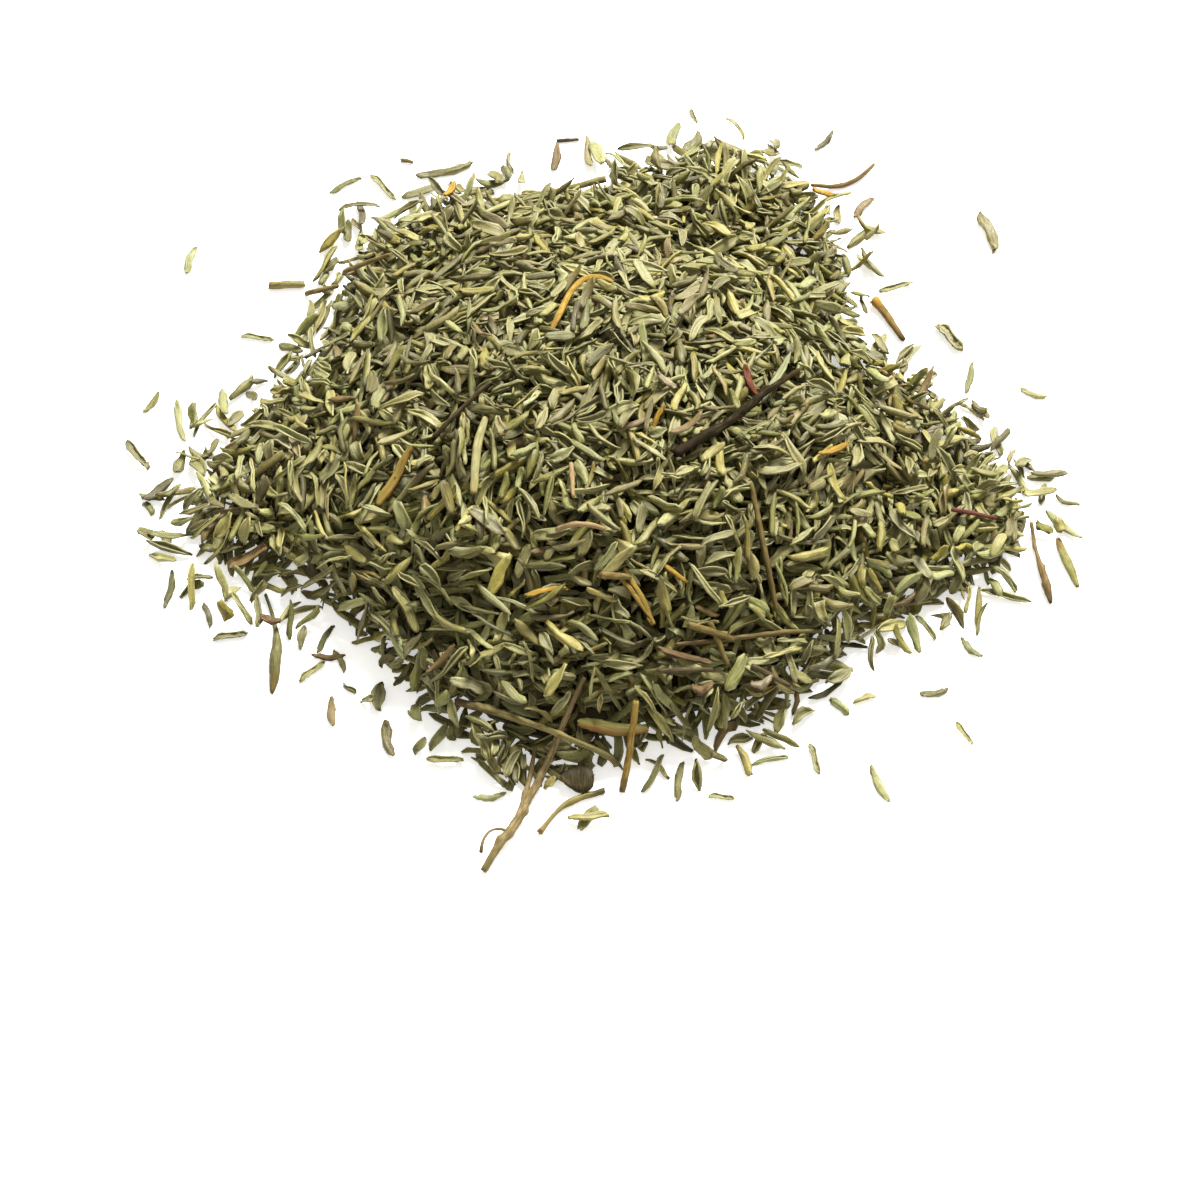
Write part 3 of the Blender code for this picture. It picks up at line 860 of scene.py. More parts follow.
# %% [markdown]
# The white table must not shine through the foot, where no dark core lies below. So a
# lowest layer of short leaves is laid there first, over every cell that is still bare.

# %% Line the foot
LINING_LEVEL = 0.7         # the lowest layer rests no higher than this
LINING_LONGEST = 1.1
LOW_TWIG = 1.5             # twigs lower than this leave no room for a leaf below them
flat_on_table = (on_top > 0.0) & (on_top < LOW_TWIG)
lining = fill_bare(np.argwhere((mound > 0.0) & (core <= 0.0) | tongue), LINING_LEVEL,
                   LINING_LONGEST, flat_on_table, 0.04)
print("lining:", len(lining))

# %% [markdown]
# The heap is sprinkled in two goes. The bed comes first and may run on under the twigs. It
# stays a little lower than the final shape, and lower still near the twigs, so that they
# lie in it and don't float. Then the twigs count as ground, and the top leaves fill up what
# is left around them.

# %% Sprinkle the heap
LEAF_LIMIT = 9500
BED_DEPTH = (1.2, 2.0)     # how far the bed stays below the shape: usual, near the twigs
BED_SHARE = 0.45           # but no more than this share of its height
NEAR = 4                   # map cells from a twig that count as near it

nobody = np.zeros(MAP_SIZE, bool)
near_named = widened(on_top, NEAR) > 0.0
bed = form - np.minimum(np.where(near_named, BED_DEPTH[1], BED_DEPTH[0]), BED_SHARE * form)
bed[tongue] = np.maximum(bed[tongue], TONGUE_HEIGHT)
bed_leaves = sprinkle(bed, ground, nobody, LEAF_LIMIT)
print("bed:", len(bed_leaves))
ground = np.maximum(ground, on_top)
near_form = np.where(foot, np.maximum(mound, 1.0), mound)
top_leaves = sprinkle(np.where(near_named, near_form, form), ground, widened(on_top, 1) > 0.0,
                      LEAF_LIMIT - len(bed_leaves))
print("top:", len(top_leaves))

# %% [markdown]
# Poured leaves roll and bounce, so a fringe of single ones lies round the foot, thick close
# to it and thin further out, with more of them at the near left. Those within a few
# millimetres may lean on the foot, which ties the fringe to the heap.

# %% The fringe
FRINGE = 700
FRINGE_REACH = 8.5         # no fringe leaf lies further out than this
FADE = 2.0                 # distance in which the fringe thins out
FRONT = (-30.0, 0.35, 0.5)         # nearer than this y the first chance holds, else the second
NEAR_LEFT = (-18.0, -12.0, 0.05)   # x and y limits of the near left, chance added there
LOWER_SLOPE = (0.2, 5.5)   # heights of the mound on which fringe leaves lie too
SLOPE_FRONT = (-25.0, 0.8, 0.4)    # the same as FRONT, for the lower slope
LEANING = (0.4, 3.0)       # leaves from the first to the second distance may lean less and less
LEANING_HEIGHT = (2.6, 1.4)        # how high they may rest over the mound at these distances


def edge_distance(mask):
    """Rough distance in millimetres from each cell to the mound, by growing it."""
    distance = np.full(mask.shape, 99.0)
    distance[mask] = 0.0
    grown = mask.copy()
    for ring in range(1, int(MARGIN / CELL)):
        wider = grown.copy()
        for axis in (0, 1):
            for step in (-1, 1):
                wider |= np.roll(grown, step, axis)
        distance[wider & ~grown] = ring * CELL
        grown = wider
    return distance


spread = edge_distance(mound > 0.0)
outside = spread < FRINGE_REACH
chance = np.where((spread > 0.0) & outside, np.exp(-spread / FADE), 0.0)
chance *= np.where(cell_y < FRONT[0], FRONT[1], FRONT[2])
near_left = (cell_x < NEAR_LEFT[0]) & (cell_y < NEAR_LEFT[1]) & (spread > 1.0) & outside
chance += np.where(near_left, NEAR_LEFT[2], 0.0)
lower_slope = (mound > LOWER_SLOPE[0]) & (mound < LOWER_SLOPE[1])
on_slope = np.where(cell_y < SLOPE_FRONT[0], SLOPE_FRONT[1], SLOPE_FRONT[2])
chance += np.where(lower_slope, on_slope, 0.0)
running = np.cumsum(chance.ravel())
fringe = []
while len(fringe) < FRINGE:
    i, j = aim(running)
    x, y = MAP_LOW + CELL * (np.array([i, j]) + rng.random(2))
    row = lay_one(x, y, rng.random() * 2 * math.pi,
                  highest=mound[i, j] + np.interp(spread[i, j], LEANING, LEANING_HEIGHT))
    if row is not None:
        fringe.append(row)
        settle(row, ground)
print("fringe:", len(fringe), "leaves out to",
      round(max(spread[cells_of(row[0], row[1])] for row in fringe), 1), "mm")

# %% [markdown]
# Against the white table the far and right edges would look trimmed, because all leaves
# there lie flat against the slope. Some leaves that point outwards and upwards break the
# outline up.

# %% Leaf tips at the far edge
TIPS = 150
TIP_STRETCH = (1.02, 0.15, 0.6, 1.3)
TIP_GIRTH = (0.75, 1.1)    # least and most
TIP_SLOPES = (0.05, 0.75)  # least and most
TIP_LIFT = 0.3             # millimetres over the ground
EDGE_HEIGHTS = (0.8, 4.0)  # the mound is this high where tips stick out
EDGE_LEAN, EDGE_FROM = 0.35, 8.0   # and y + EDGE_LEAN * x is more than EDGE_FROM
edge_cells = np.argwhere((mound > EDGE_HEIGHTS[0]) & (mound < EDGE_HEIGHTS[1])
                         & (cell_y + EDGE_LEAN * cell_x > EDGE_FROM))
slope_x, slope_y = np.gradient(blurred(mound, 4))
tips = []
for i, j in edge_cells[rng.choice(len(edge_cells), TIPS, replace=False)]:
    x, y = MAP_LOW + CELL * (np.array([i, j]) + rng.random(2))
    outward = math.atan2(-slope_y[i, j], -slope_x[i, j]) + rng.normal(0.0, 0.7)
    kind = int(rng.choice(len(LEAF_SHAPES), p=STRAIGHT_ODDS))
    roll = rng.normal(0.0, 0.5) + (math.pi if rng.random() > 0.5 else 0.0)
    row = [x, y, ground[i, j] + TIP_LIFT, outward, rng.uniform(*TIP_SLOPES), roll, kind,
           varied(*TIP_STRETCH), float(rng.uniform(*TIP_GIRTH)), *rng.normal(0.0, BEND, 2)]
    row[2] += below_floor(row)
    tips.append(row)
leaves = np.vstack((np.array(lining), bed_leaves, top_leaves, np.array(fringe), np.array(tips)))
print("leaves:", len(leaves), "mean gap to the mound:",
      round(float((mound - ground)[mound > 0].mean()), 2), "mm")

# %% [markdown]
# A leaf buried under many others needs no place in the model, and one just below the
# surface needs only a plain shape. Each leaf is compared with the finished ground: how much
# of it is still the top says how visible it is. Leaves that ended up over a twig, a husk or
# a single leaf are picked off again, as if with tweezers.

# %% Keep what shows
DEEPEST = 6.5              # leaves further down than this are left out
LOOK_PAST = 6              # map cells looked past a leaf for a twig that it hides from the front
HIDES_LEAST = 0.04         # share of a leaf over a twig or husk that gets it picked off
PLAIN_FROM = 1.9           # further down than this, a leaf gets a plain shape
PLAIN_SHOWS = 0.12         # unless a larger share of it than this is at the surface
AT_SURFACE = 0.5           # a point this close under the top is at the surface


def leaf_depth(row):
    """Share of a leaf at the surface, its mean depth, and its shares over twigs and strays."""
    points = placed(SAMPLES, row)
    cells = cells_of(points[:, 0], points[:, 1])
    depth = ground[cells] - points[:, 2]
    hides = np.zeros(len(points), bool)
    for step in range(LOOK_PAST):
        top = on_top[cells[0], np.minimum(cells[1] + step, MAP_SIZE[1] - 1)]
        hides |= (top > 0.0) & (points[:, 2] > top + step * CELL * math.tan(LOOK_DOWN))
    return (depth < AT_SURFACE).mean(), depth.mean(), hides.mean(), near_loose[cells].mean()


shows, deep, hides, strays = np.array([leaf_depth(row) for row in leaves]).T
in_the_way = (hides >= HIDES_LEAST) | (strays > 0.0)
keep = (deep < DEEPEST) & ~in_the_way
plain = keep & (deep > PLAIN_FROM) & (shows < PLAIN_SHOWS)
leaves[plain, 6] = np.resize(kinds_of("buried"), plain.sum())
for row in leaves:
    row[2] += below_floor(row, SHAPE_POINTS)
print("kept:", int(keep.sum()), "plain:", int(plain.sum()), "picked off:", int(in_the_way.sum()))

# %% [markdown]
# Picking leaves off opens holes beside the twigs, and the white table would shine through.
# So shorter leaves are tried in each hole, one heading after another, until one fits there
# without lying over a twig.

# %% Mend the holes
HOLE_HEIGHT = 0.6          # a place whose surroundings are on average lower than this is a hole
LONGEST_MEND = 0.75
ground = core.copy()
for row in leaves[keep]:
    settle(row, ground)
holes = np.argwhere(((mound > 0.0) | tongue) & (blurred(ground, 1) < HOLE_HEIGHT))
ground = np.maximum(ground, on_top)
mended = fill_bare(holes, TONGUE_HEIGHT, LONGEST_MEND, (on_top > 0.0) | near_loose, 0.1)
leaves = np.vstack([leaves] + mended)
keep = np.append(keep, np.ones(len(mended), bool))
print("cells of holes:", len(holes), "leaves that mend them:", len(mended))

# %% [markdown]
# Now every leaf shape is copied to its place. Copies of one mesh would be lighter, but each
# leaf needs a tone of its own and its own patch of any texture baked later, so the points
# are turned and moved with numpy and gathered in a few large meshes.

# %% Gather leaves in one mesh
def bake_map(mesh):
    """The mesh's places in the bake map, one row per corner."""
    flat = np.zeros(len(mesh.loops) * 2, np.float32)
    mesh.uv_layers["OFBake"].uv.foreach_get("vector", flat)
    return flat.reshape(-1, 2)


BAKE_CELLS = [bake_map(mesh) for mesh in LEAF_SHAPES]


def gather_leaves(name, rows, rng):
    """One mesh of many leaves, each with its tone and its own cell of the bake map."""
    bm = bmesh.new()
    columns = math.ceil(math.sqrt(len(rows)))
    for n, row in enumerate(rows):
        kind = int(row[6])
        mesh = LEAF_SHAPES[kind]
        points = placed(SHAPE_POINTS, row)
        mesh.vertices.foreach_set("co", (points * MM).astype(np.float32).ravel())
        count = len(mesh.vertices)
        for layer in ("tone", "warm", "pale"):
            value = np.full(count, rng.random(), np.float32)
            mesh.attributes[layer].data.foreach_set("value", value)
        corner = np.array([n % columns, n // columns]) / columns
        cell = corner + BAKE_CELLS[kind] / columns
        mesh.uv_layers["OFBake"].uv.foreach_set("vector", cell.astype(np.float32).ravel())
        bm.from_mesh(mesh)
    return place_in_scene(bm, name)


print("bake squares of", len(BAKE_CELLS), "leaf shapes read")

# %% [markdown]
# Dried thyme is grey-green going to straw, never one green. Every leaf carries three random
# numbers of its own: tone, warm and pale. The tone picks its place on a ramp from dark to
# light, and noises of four sizes move that place: broad drifts across the heap, which are
# partly leaves of another tone and partly painted shade and light such as hollows and humps
# give, blotches and mottling on a leaf, and fibres that run along it.

# %% Leaf tones
LEAF_RAMP = (              # from the darkest leaves to the lightest
    (0.00, (0.050, 0.039, 0.004)),
    (0.25, (0.097, 0.084, 0.011)),
    (0.50, (0.154, 0.142, 0.029)),
    (0.75, (0.211, 0.200, 0.060)),
    (1.00, (0.272, 0.258, 0.102)),
)


def leaf_tones(tree):
    """The ramp's colour, and the sockets that the rest of the leaf material reads."""
    coords = add_node(tree, "ShaderNodeTexCoord").outputs["Object"]
    tone, warm, inner = (attribute(tree, layer) for layer in ("tone", "warm", "inner"))
    uv = add_node(tree, "ShaderNodeUVMap", {"uv_map": "LeafUV"}).outputs["UV"]
    split = add_node(tree, "ShaderNodeSeparateXYZ")
    join(tree, uv, split.inputs[0])
    along, across = split.outputs["X"], split.outputs["Y"]
    pale = attribute(tree, "pale")
    fibre_place = add_node(tree, "ShaderNodeCombineXYZ")
    join(tree, maths(tree, "ADD", along, maths(tree, "MULTIPLY", tone, 37.0)),
         fibre_place.inputs["X"])
    join(tree, maths(tree, "MULTIPLY", across, 6.5), fibre_place.inputs["Y"])
    join(tree, maths(tree, "MULTIPLY", pale, 53.0), fibre_place.inputs["Z"])
    fibre = noise_at(tree, fibre_place.outputs["Vector"], Scale=1.6, Detail=3.0, Roughness=0.65)
    blotch = noise_at(tree, coords, Scale=620.0, Detail=2.0)
    mottle = noise_at(tree, coords, Scale=3200.0, Detail=3.0, Roughness=0.6)
    shift = swing(tree, blotch, 0.50)
    streak = swing(tree, fibre, 1.5)
    # Broad drifts: partly leaves that differ in tone, partly painted shade and light of hollows and
    # humps.
    patch = noise_at(tree, coords, Scale=130.0, Detail=1.0)
    drift_and_painted_shade = swing(tree, patch, 0.55)
    place = maths(tree, "ADD", maths(tree, "MULTIPLY", tone, 0.85), drift_and_painted_shade)
    place = maths(tree, "ADD", place, maths(tree, "ADD", shift, streak))
    return ramp(tree, LEAF_RAMP, place), warm, pale, inner, across, fibre, mottle


# %% [markdown]
# The other two numbers give a few leaves a hue of their own: cool, yellow, brown, tan or a
# faded purple. The rolled rims are paler, because the blade is thin there, and the inner
# side is felted. Each of these is laid over the ramp's colour in turn, the strongest hues
# over the fewest leaves.

# %% Leaf hues
HUES = (  # which number, the range in which the hue sets in, strengths there, how, colour
    ("warm", (0.15, 0.40, 1.0, 0.0), "MULTIPLY", (0.89, 0.97, 1.03)),    # cool
    ("warm", (0.62, 0.90, 0.0, 1.0), "MULTIPLY", (1.16, 1.04, 0.62)),    # yellow
    ("pale", (0.10, 0.03, 0.0, 0.7), "MIX", (0.082, 0.063, 0.023)),      # faded purple
    ("pale", (0.82, 0.97, 0.0, 0.65), "MIX", (0.166, 0.134, 0.044)),     # tan
    ("warm", (0.96, 0.985, 0.0, 1.0), "MIX", (0.128, 0.080, 0.020)),     # brown
)
RIM_COLOUR = (0.276, 0.256, 0.110)
FELT_COLOUR = (0.235, 0.222, 0.095)


def leaf_material(name):
    """Dried thyme: tones, hues, pale rims, a felted inner side and a mottled, matt surface."""
    material, tree, shader = blank_material(name, 0.62)
    base, warm, pale, inner, across, fibre, mottle = leaf_tones(tree)
    for number, limits, how, colour in HUES:
        amount = rescale(tree, warm if number == "warm" else pale, *limits)
        base = mix_colours(tree, how, amount, base, colour)
    rim = maths(tree, "ABSOLUTE", maths(tree, "SUBTRACT", across, 0.5))
    rim = rescale(tree, rim, 0.34, 0.50, 0.0, 0.40)
    base = mix_colours(tree, "MIX", rim, base, RIM_COLOUR)
    felt = maths(tree, "MULTIPLY", inner, 0.35)
    base = mix_colours(tree, "MIX", felt, base, FELT_COLOUR)
    speckle = rescale(tree, mottle, 0.3, 0.7, 0.78, 1.18)
    speckle_colour = add_node(tree, "ShaderNodeCombineColor")
    for channel in ("Red", "Green", "Blue"):
        join(tree, speckle, speckle_colour.inputs[channel])
    base = mix_colours(tree, "MULTIPLY", 1.0, base, speckle_colour.outputs["Color"])
    join(tree, base, shader.inputs["Base Color"])
    join(tree, rescale(tree, mottle, 0.3, 0.7, 0.38, 0.62), shader.inputs["Roughness"])
    relief = maths(tree, "ADD", maths(tree, "MULTIPLY", mottle, 0.4), fibre)
    add_relief(tree, shader, relief, 0.8, 0.00016)
    return material


thyme = leaf_material("dried_thyme_leaf")
print(thyme.name, len(thyme.node_tree.nodes), "nodes")

# %% [markdown]
# The kept leaves are dealt out to a dozen pieces like cards, so that each piece has leaves
# from all over the heap and none becomes too large. They stand in for the loaded mound.

# %% Build the heap
PIECES = 12
looks_rng = np.random.default_rng(SEED + 1)
dealt = np.flatnonzero(keep)
for n in range(PIECES):
    piece = gather_leaves(f"heap_leaves_{n + 1}", leaves[dealt[n::PIECES]], looks_rng)
    piece.data.materials.append(thyme)
    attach(piece, "root")
    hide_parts("leaf_heap")
    print(piece.name, len(piece.data.polygons), "faces")

# %% [markdown]
# The core is what stops the eye between the leaves. Its near-black colour is painted shade:
# the deep shade of the gaps between the leaves, not a colour of its own. A grid takes its
# heights from the core's map, the flat faces on the table are cut away, the jagged border
# is smoothed, and the sheet is extruded down to the table, so that it is a closed body.

# %% Core
CORE_STEP = 3              # map cells to one face of the core
CORE_LOW = 0.05            # height of its underside over the table, in millimetres
BORDER_SMOOTHINGS = 6
bm = bmesh.new()
counts = (MAP_SIZE // CORE_STEP).tolist()
bmesh.ops.create_grid(bm, x_segments=counts[0], y_segments=counts[1], size=0.5)
for vert in bm.verts:
    x, y = MAP_LOW + (np.array(vert.co.xy) + 0.5) * (np.array(counts) * CORE_STEP * CELL)
    i, j = cells_of(x, y)
    vert.co = Vector((x, y, float(core[i, j]))) * MM
flat_faces = [face for face in bm.faces if any(vert.co.z == 0.0 for vert in face.verts)]
bmesh.ops.delete(bm, geom=flat_faces, context="FACES")
for _ in range(BORDER_SMOOTHINGS):
    bmesh.ops.smooth_vert(bm, verts=[vert for vert in bm.verts if vert.is_boundary], factor=0.5,
                          use_axis_x=True, use_axis_y=True, use_axis_z=False)
under = bmesh.ops.extrude_face_region(bm, geom=bm.faces[:], use_keep_orig=True)
for item in under["geom"]:
    if isinstance(item, bmesh.types.BMVert):
        item.co.z = CORE_LOW * MM
for vert in bm.verts:
    vert.co.z = max(vert.co.z, CORE_LOW * MM)
bmesh.ops.remove_doubles(bm, verts=bm.verts, dist=1e-6)
bmesh.ops.recalc_face_normals(bm, faces=bm.faces)
core_piece = place_in_scene(bm, "heap_core", smooth=False)
# The core's near-black colour is painted shade for the deep gaps between the leaves.
dark, tree, shader = blank_material("packed_crumbs", 0.9)
shader.inputs["Base Color"].default_value = (0.040, 0.031, 0.009, 1.0)
core_piece.data.materials.append(dark)
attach(core_piece, "root")
print(core_piece.name, len(core_piece.data.polygons), "faces")

# %% [markdown]
# Twigs, husks and single leaves lie where the loaded model has them. The spread of a loaded
# piece's points says how: the direction in which they spread most is its length, the one in
# which they spread least is its thickness, and the rest follows from these.

# %% Read how a loaded piece lies
def lie_of(name):
    """Middle, directions (long, wide, up) and half sizes of a loaded piece, in millimetres.

    The long direction is the one that goes to the right."""
    points = np.unique((mesh_points(nodes[name].data) / MM).round(3), axis=0)
    spread, axes = np.linalg.eigh(np.cov((points - points.mean(axis=0)).T))
    axes = axes[:, ::-1]
    if axes[2, 2] < 0.0:
        axes[:, 2] *= -1.0
    if axes[0, 0] < 0.0:
        axes[:, 0] *= -1.0
    axes[:, 1] = np.cross(axes[:, 2], axes[:, 0])
    local = points @ axes
    low, high = local.min(axis=0), local.max(axis=0)
    return axes @ ((low + high) / 2), axes, (high - low) / 2


def finish_piece(piece, material, slot, *replaced):
    """What every finished piece needs: its material, its body and what it hides; slot is not used.
    """
    piece.data.materials.append(material)
    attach(piece, "root")
    if replaced:
        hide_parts(*replaced)
    print(piece.name, len(piece.data.polygons), "faces")


print("front_husk's half sizes:", lie_of("front_husk")[2].round(2), "mm")

# %% [markdown]
# The leaves beside the heap are seen singly, so theirs are the finer shapes. Each is turned
# and stretched to the length and width of the loaded leaf that it stands in for, and every
# third one lies on its back, as leaves that fell would.

# %% Loose leaves
LOOSE_KINDS = kinds_of("loose")
LOOSE_GIRTH = 1.05         # the fine shapes are a little wider than the plain ones they stand for


def loose_row(name, count):
    """The row that lays a fine leaf where a loaded one lies."""
    middle, axes, half = lie_of(name)
    kind = LOOSE_KINDS[count % len(LOOSE_KINDS)]
    heading = math.atan2(axes[1, 0], axes[0, 0])
    roll = math.pi if count % 3 == 1 else 0.0
    row = [*middle, heading, axes[2, 0], roll, kind, half[0] / REACH[kind][0],
           LOOSE_GIRTH * half[1] / REACH[kind][1], 0.0, 0.0]
    row[2] += FLOOR_GAP - placed(SAMPLES, row)[:, 2].min()
    return row


for side in ("back", "right", "left", "front"):
    names = [name for name in LOOSE if name.startswith("leaf_" + side)]
    rows = np.array([loose_row(name, count) for count, name in enumerate(names)])
    piece = gather_leaves("loose_leaves_" + side, rows, looks_rng)
    finish_piece(piece, thyme, "dried_leaf", *names)

# %% [markdown]
# Rubbed thyme always holds some stalks. A stalk is a thin tube, but never a smooth one: it
# has ridges along it, swellings where leaf pairs grew and rough broken ends. The loaded
# stems already run the right way, so their courses are read back from them. The end cut is
# the flat patch of faces that looks most along the stem, and from its ring of points the
# next ring is reached over the edges, until the other end.

# %% Read a stem's course
SAME_POINT = 1e-7          # points closer than this, in metres, are one
ONE_PLANE = 0.01           # faces whose normals differ less than this, in radians, are one end


def stem_course(name):
    """Centres and radii along a loaded stem in millimetres, ring by ring, left end first."""
    axis = Vector(lie_of(name)[1][:, 0])
    bm = bmesh.new()
    bm.from_mesh(nodes[name].data)
    bmesh.ops.remove_doubles(bm, verts=bm.verts, dist=SAME_POINT)
    bm.normal_update()
    best, end = 0.0, None
    checked = set()
    for face in bm.faces:
        if face in checked:
            continue
        patch, open_faces = {face}, [face]
        while open_faces:
            current = open_faces.pop()
            for edge in current.edges:
                for other in edge.link_faces:
                    if other not in patch and other.normal.angle(face.normal, 3.0) < ONE_PLANE:
                        patch.add(other)
                        open_faces.append(other)
        checked |= patch
        score = len(patch) * abs(face.normal.dot(axis)) ** 3
        if score > best:
            best, end = score, patch
    ring = {vert for face in end for vert in face.verts}
    done, course = set(), []
    while ring:
        centre = sum((vert.co for vert in ring), Vector()) / len(ring)
        radius = sum((vert.co - centre).length for vert in ring) / len(ring)
        course.append((*(centre / MM), radius / MM))
        done |= ring
        ring = {edge.other_vert(vert) for vert in ring for edge in vert.link_edges} - done
    bm.free()
    return course if course[0][0] < course[-1][0] else course[::-1]


print("dark_stem has", len(stem_course("dark_stem")), "rings")

# %% [markdown]
# Few rings are enough to say where a stem runs, but its bark needs many. So rings are put in
# at even distances along the course, and the bends between them are smoothed.

# %% Even rings along a course
STATION = 0.42             # millimetres between two rings of a finished stem
FEWEST_RINGS = 6
ROUNDINGS = 3              # times that the course is smoothed


def even_course(course):
    """Distances of the rings from the start, and one row of x, y, z and radius for each."""
    course = np.array(course, float)
    steps = np.linalg.norm(np.diff(course[:, :3], axis=0), axis=1)
    reach = np.concatenate(([0.0], np.cumsum(steps)))
    count = max(FEWEST_RINGS, int(reach[-1] / STATION))
    stations = np.linspace(0.0, reach[-1], count + 1)
    line = np.array([np.interp(stations, reach, course[:, k]) for k in range(4)]).T
    for _ in range(ROUNDINGS):
        line[1:-1] = (line[:-2] + 2 * line[1:-1] + line[2:]) / 4
    return stations, line


print("dark_stem is", even_course(stem_course("dark_stem"))[0][-1].round(1), "mm long")

# %% [markdown]
# A stalk's surface is uneven in three ways. Ridges and dents run over all of it, some stalks
# are fluted like a column, and a knot sticks out to one side where a pair of leaves grew.
# Smooth noise gives the ridges, a cosine the flutes, and each knot is a small bell curve.

# %% Bark relief
NOISE_ROUND = 1.3          # steps of the noise round a stem
NOISE_ALONG = 0.55         # steps of it along one millimetre
SEED_STEP = 17.0           # how far apart the noises of two stems are read
FLUTE_DEPTH = 0.13         # share of the radius
KNOT_LENGTH = 0.55         # half length of a knot in millimetres


def bark_radius(radius, here, turn, station, length, ridge, knots, fluted):
    """Radius of a stem at one point, with its ridges, flutes and knots, in millimetres."""
    radius = radius * (1.0 + ridge * 1.6 * noise.noise(here) + ridge * noise.noise(here * 3.1))
    radius *= 1.0 + FLUTE_DEPTH * math.cos(fluted * turn) * (fluted > 0)
    for place, side, height in knots:
        along = (station - place * length) / KNOT_LENGTH
        facing = 0.5 + 0.5 * math.cos(turn - side)
        radius += height * math.exp(-along * along) * facing ** 2
    return radius


print("flutes change the radius by", FLUTE_DEPTH)

# %% [markdown]
# A grid is wrapped round the course: its long side follows the rings and its short side goes
# round each of them. The end rings are drawn in and pushed to and fro, because a dry stalk
# snaps unevenly, and both ends are closed. Where a point lies along and round the stem is
# kept on it, for bark that follows the stem.

# %% Grow a stem
AROUND = 12                # faces round a stem
END_WIDTH = 0.86           # share of the radius that is left at a broken end
RAGGED = 0.25              # how far a broken end is pushed to and fro, in millimetres


def grow_stem(bm, course, seed, ridge=0.10, flat=1.0, knots=(), fluted=0):
    """Add a stem along a course of (x, y, z, radius): ridged, knotted and rough at its ends."""
    stations, line = even_course(course)
    length, count = stations[-1], len(stations) - 1
    ahead = np.gradient(line[:, :3], axis=0)
    tube = bmesh.new()
    bark = tube.verts.layers.float_vector.new("bark")
    share = tube.verts.layers.float.new("share")
    bmesh.ops.create_grid(tube, x_segments=count, y_segments=AROUND, size=0.5)
    for vert in tube.verts:
        k = round((vert.co.x + 0.5) * count)
        turn = (vert.co.y + 0.5) * 2 * math.pi
        forward = Vector(ahead[k]).normalized()
        aside = forward.cross(Vector((0, 0, 1))).normalized()
        up = aside.cross(forward)
        around = Vector((math.cos(turn), math.sin(turn)))
        here = Vector((around.x * NOISE_ROUND, around.y * NOISE_ROUND,
                       stations[k] * NOISE_ALONG + seed * SEED_STEP))
        radius = bark_radius(line[k, 3], here, turn, stations[k], length, ridge, knots, fluted)
        move = Vector((0.0, 0.0, 0.0))
        if k in (0, count):
            move = forward * RAGGED * noise.noise(here * 2.3 + Vector((5.0, 0.0, 0.0)))
            radius *= END_WIDTH
        centre = Vector(line[k, :3]) + move
        vert.co = (centre + aside * around.x * radius + up * around.y * radius * flat) * MM
        vert[bark] = Vector((stations[k], around.x, around.y))
        vert[share] = k / count
    bmesh.ops.remove_doubles(tube, verts=tube.verts, dist=SAME_POINT)
    caps = bmesh.ops.holes_fill(tube, edges=[e for e in tube.edges if e.is_boundary])["faces"]
    bmesh.ops.poke(tube, faces=caps)
    bmesh.ops.recalc_face_normals(tube, faces=tube.faces)
    grown = bpy.data.meshes.new("stem")
    tube.to_mesh(grown)
    tube.free()
    bm.from_mesh(grown)
    bpy.data.meshes.remove(grown)


def piece_from(bm, name):
    """Turn a bmesh into a piece, raised first if it would reach below the table."""
    lowest = min(vert.co.z for vert in bm.verts)
    floor = FLOOR_GAP * MM
    if lowest < floor:
        bmesh.ops.translate(bm, verts=bm.verts, vec=(0, 0, floor - lowest))
    return place_in_scene(bm, name)


# %% [markdown]
# Bark and straw look alike up close: fine streaks that run along the stem, between a dark
# and a light tone, and a different colour at a broken or withered end. The streaks follow
# the stem because the noise reads the distance along it and the direction round it, both
# kept on the points when the stem was grown.

# %% Bark material
BARK_GLOSS = 0.18          # old bark and straw hardly shine
BARK_ROUGHNESS = 0.7


def bark_material(name, dark, main, light, start=None, end=None,
                  gloss=BARK_GLOSS):
    """Streaked bark; start and end are the colours of the two ends, if they differ."""
    material, tree, shader = blank_material(name, BARK_ROUGHNESS)
    shader.inputs["Specular IOR Level"].default_value = gloss
    bark = add_node(tree, "ShaderNodeAttribute", {"attribute_name": "bark"})
    share = attribute(tree, "share")
    squeeze = add_node(tree, "ShaderNodeMapping")
    squeeze.inputs["Scale"].default_value = (0.45, 2.2, 2.2)
    join(tree, bark.outputs["Vector"], squeeze.inputs["Vector"])
    streaks = noise_at(tree, squeeze.outputs["Vector"], Scale=1.7, Detail=4.0, Roughness=0.62)
    patches = noise_at(tree, bark.outputs["Vector"], Scale=0.9, Detail=2.0)
    tone = maths(tree, "ADD", maths(tree, "MULTIPLY", streaks, 0.7),
                 maths(tree, "MULTIPLY", patches, 0.3))
    base = ramp(tree, ((0.34, dark), (0.50, main), (0.66, light)), tone)
    moved = maths(tree, "ADD", share, swing(tree, patches, 0.5))
    if start:
        base = mix_colours(tree, "MIX", rescale(tree, moved, 0.05, 0.30, 0.9, 0.0), base, start)
    if end:
        base = mix_colours(tree, "MIX", rescale(tree, moved, 0.72, 0.95, 0.0, 0.9), base, end)
    join(tree, base, shader.inputs["Base Color"])
    join(tree, rescale(tree, tone, 0.35, 0.65, BARK_ROUGHNESS + 0.1, BARK_ROUGHNESS - 0.12),
         shader.inputs["Roughness"])
    add_relief(tree, shader, streaks, 0.7, 0.00012)
    return material


# %% [markdown]
# Each stem has its own look: the dark woody one across the top, the golden stubs at the
# front, the brown hair-thin stalks. So a table gives, for each loaded stem, its colours from
# dark to light, those of its ends, how ridged, flat, fluted or slim it is, and its knots,
# each by its place along the stem, the side it faces and its height.

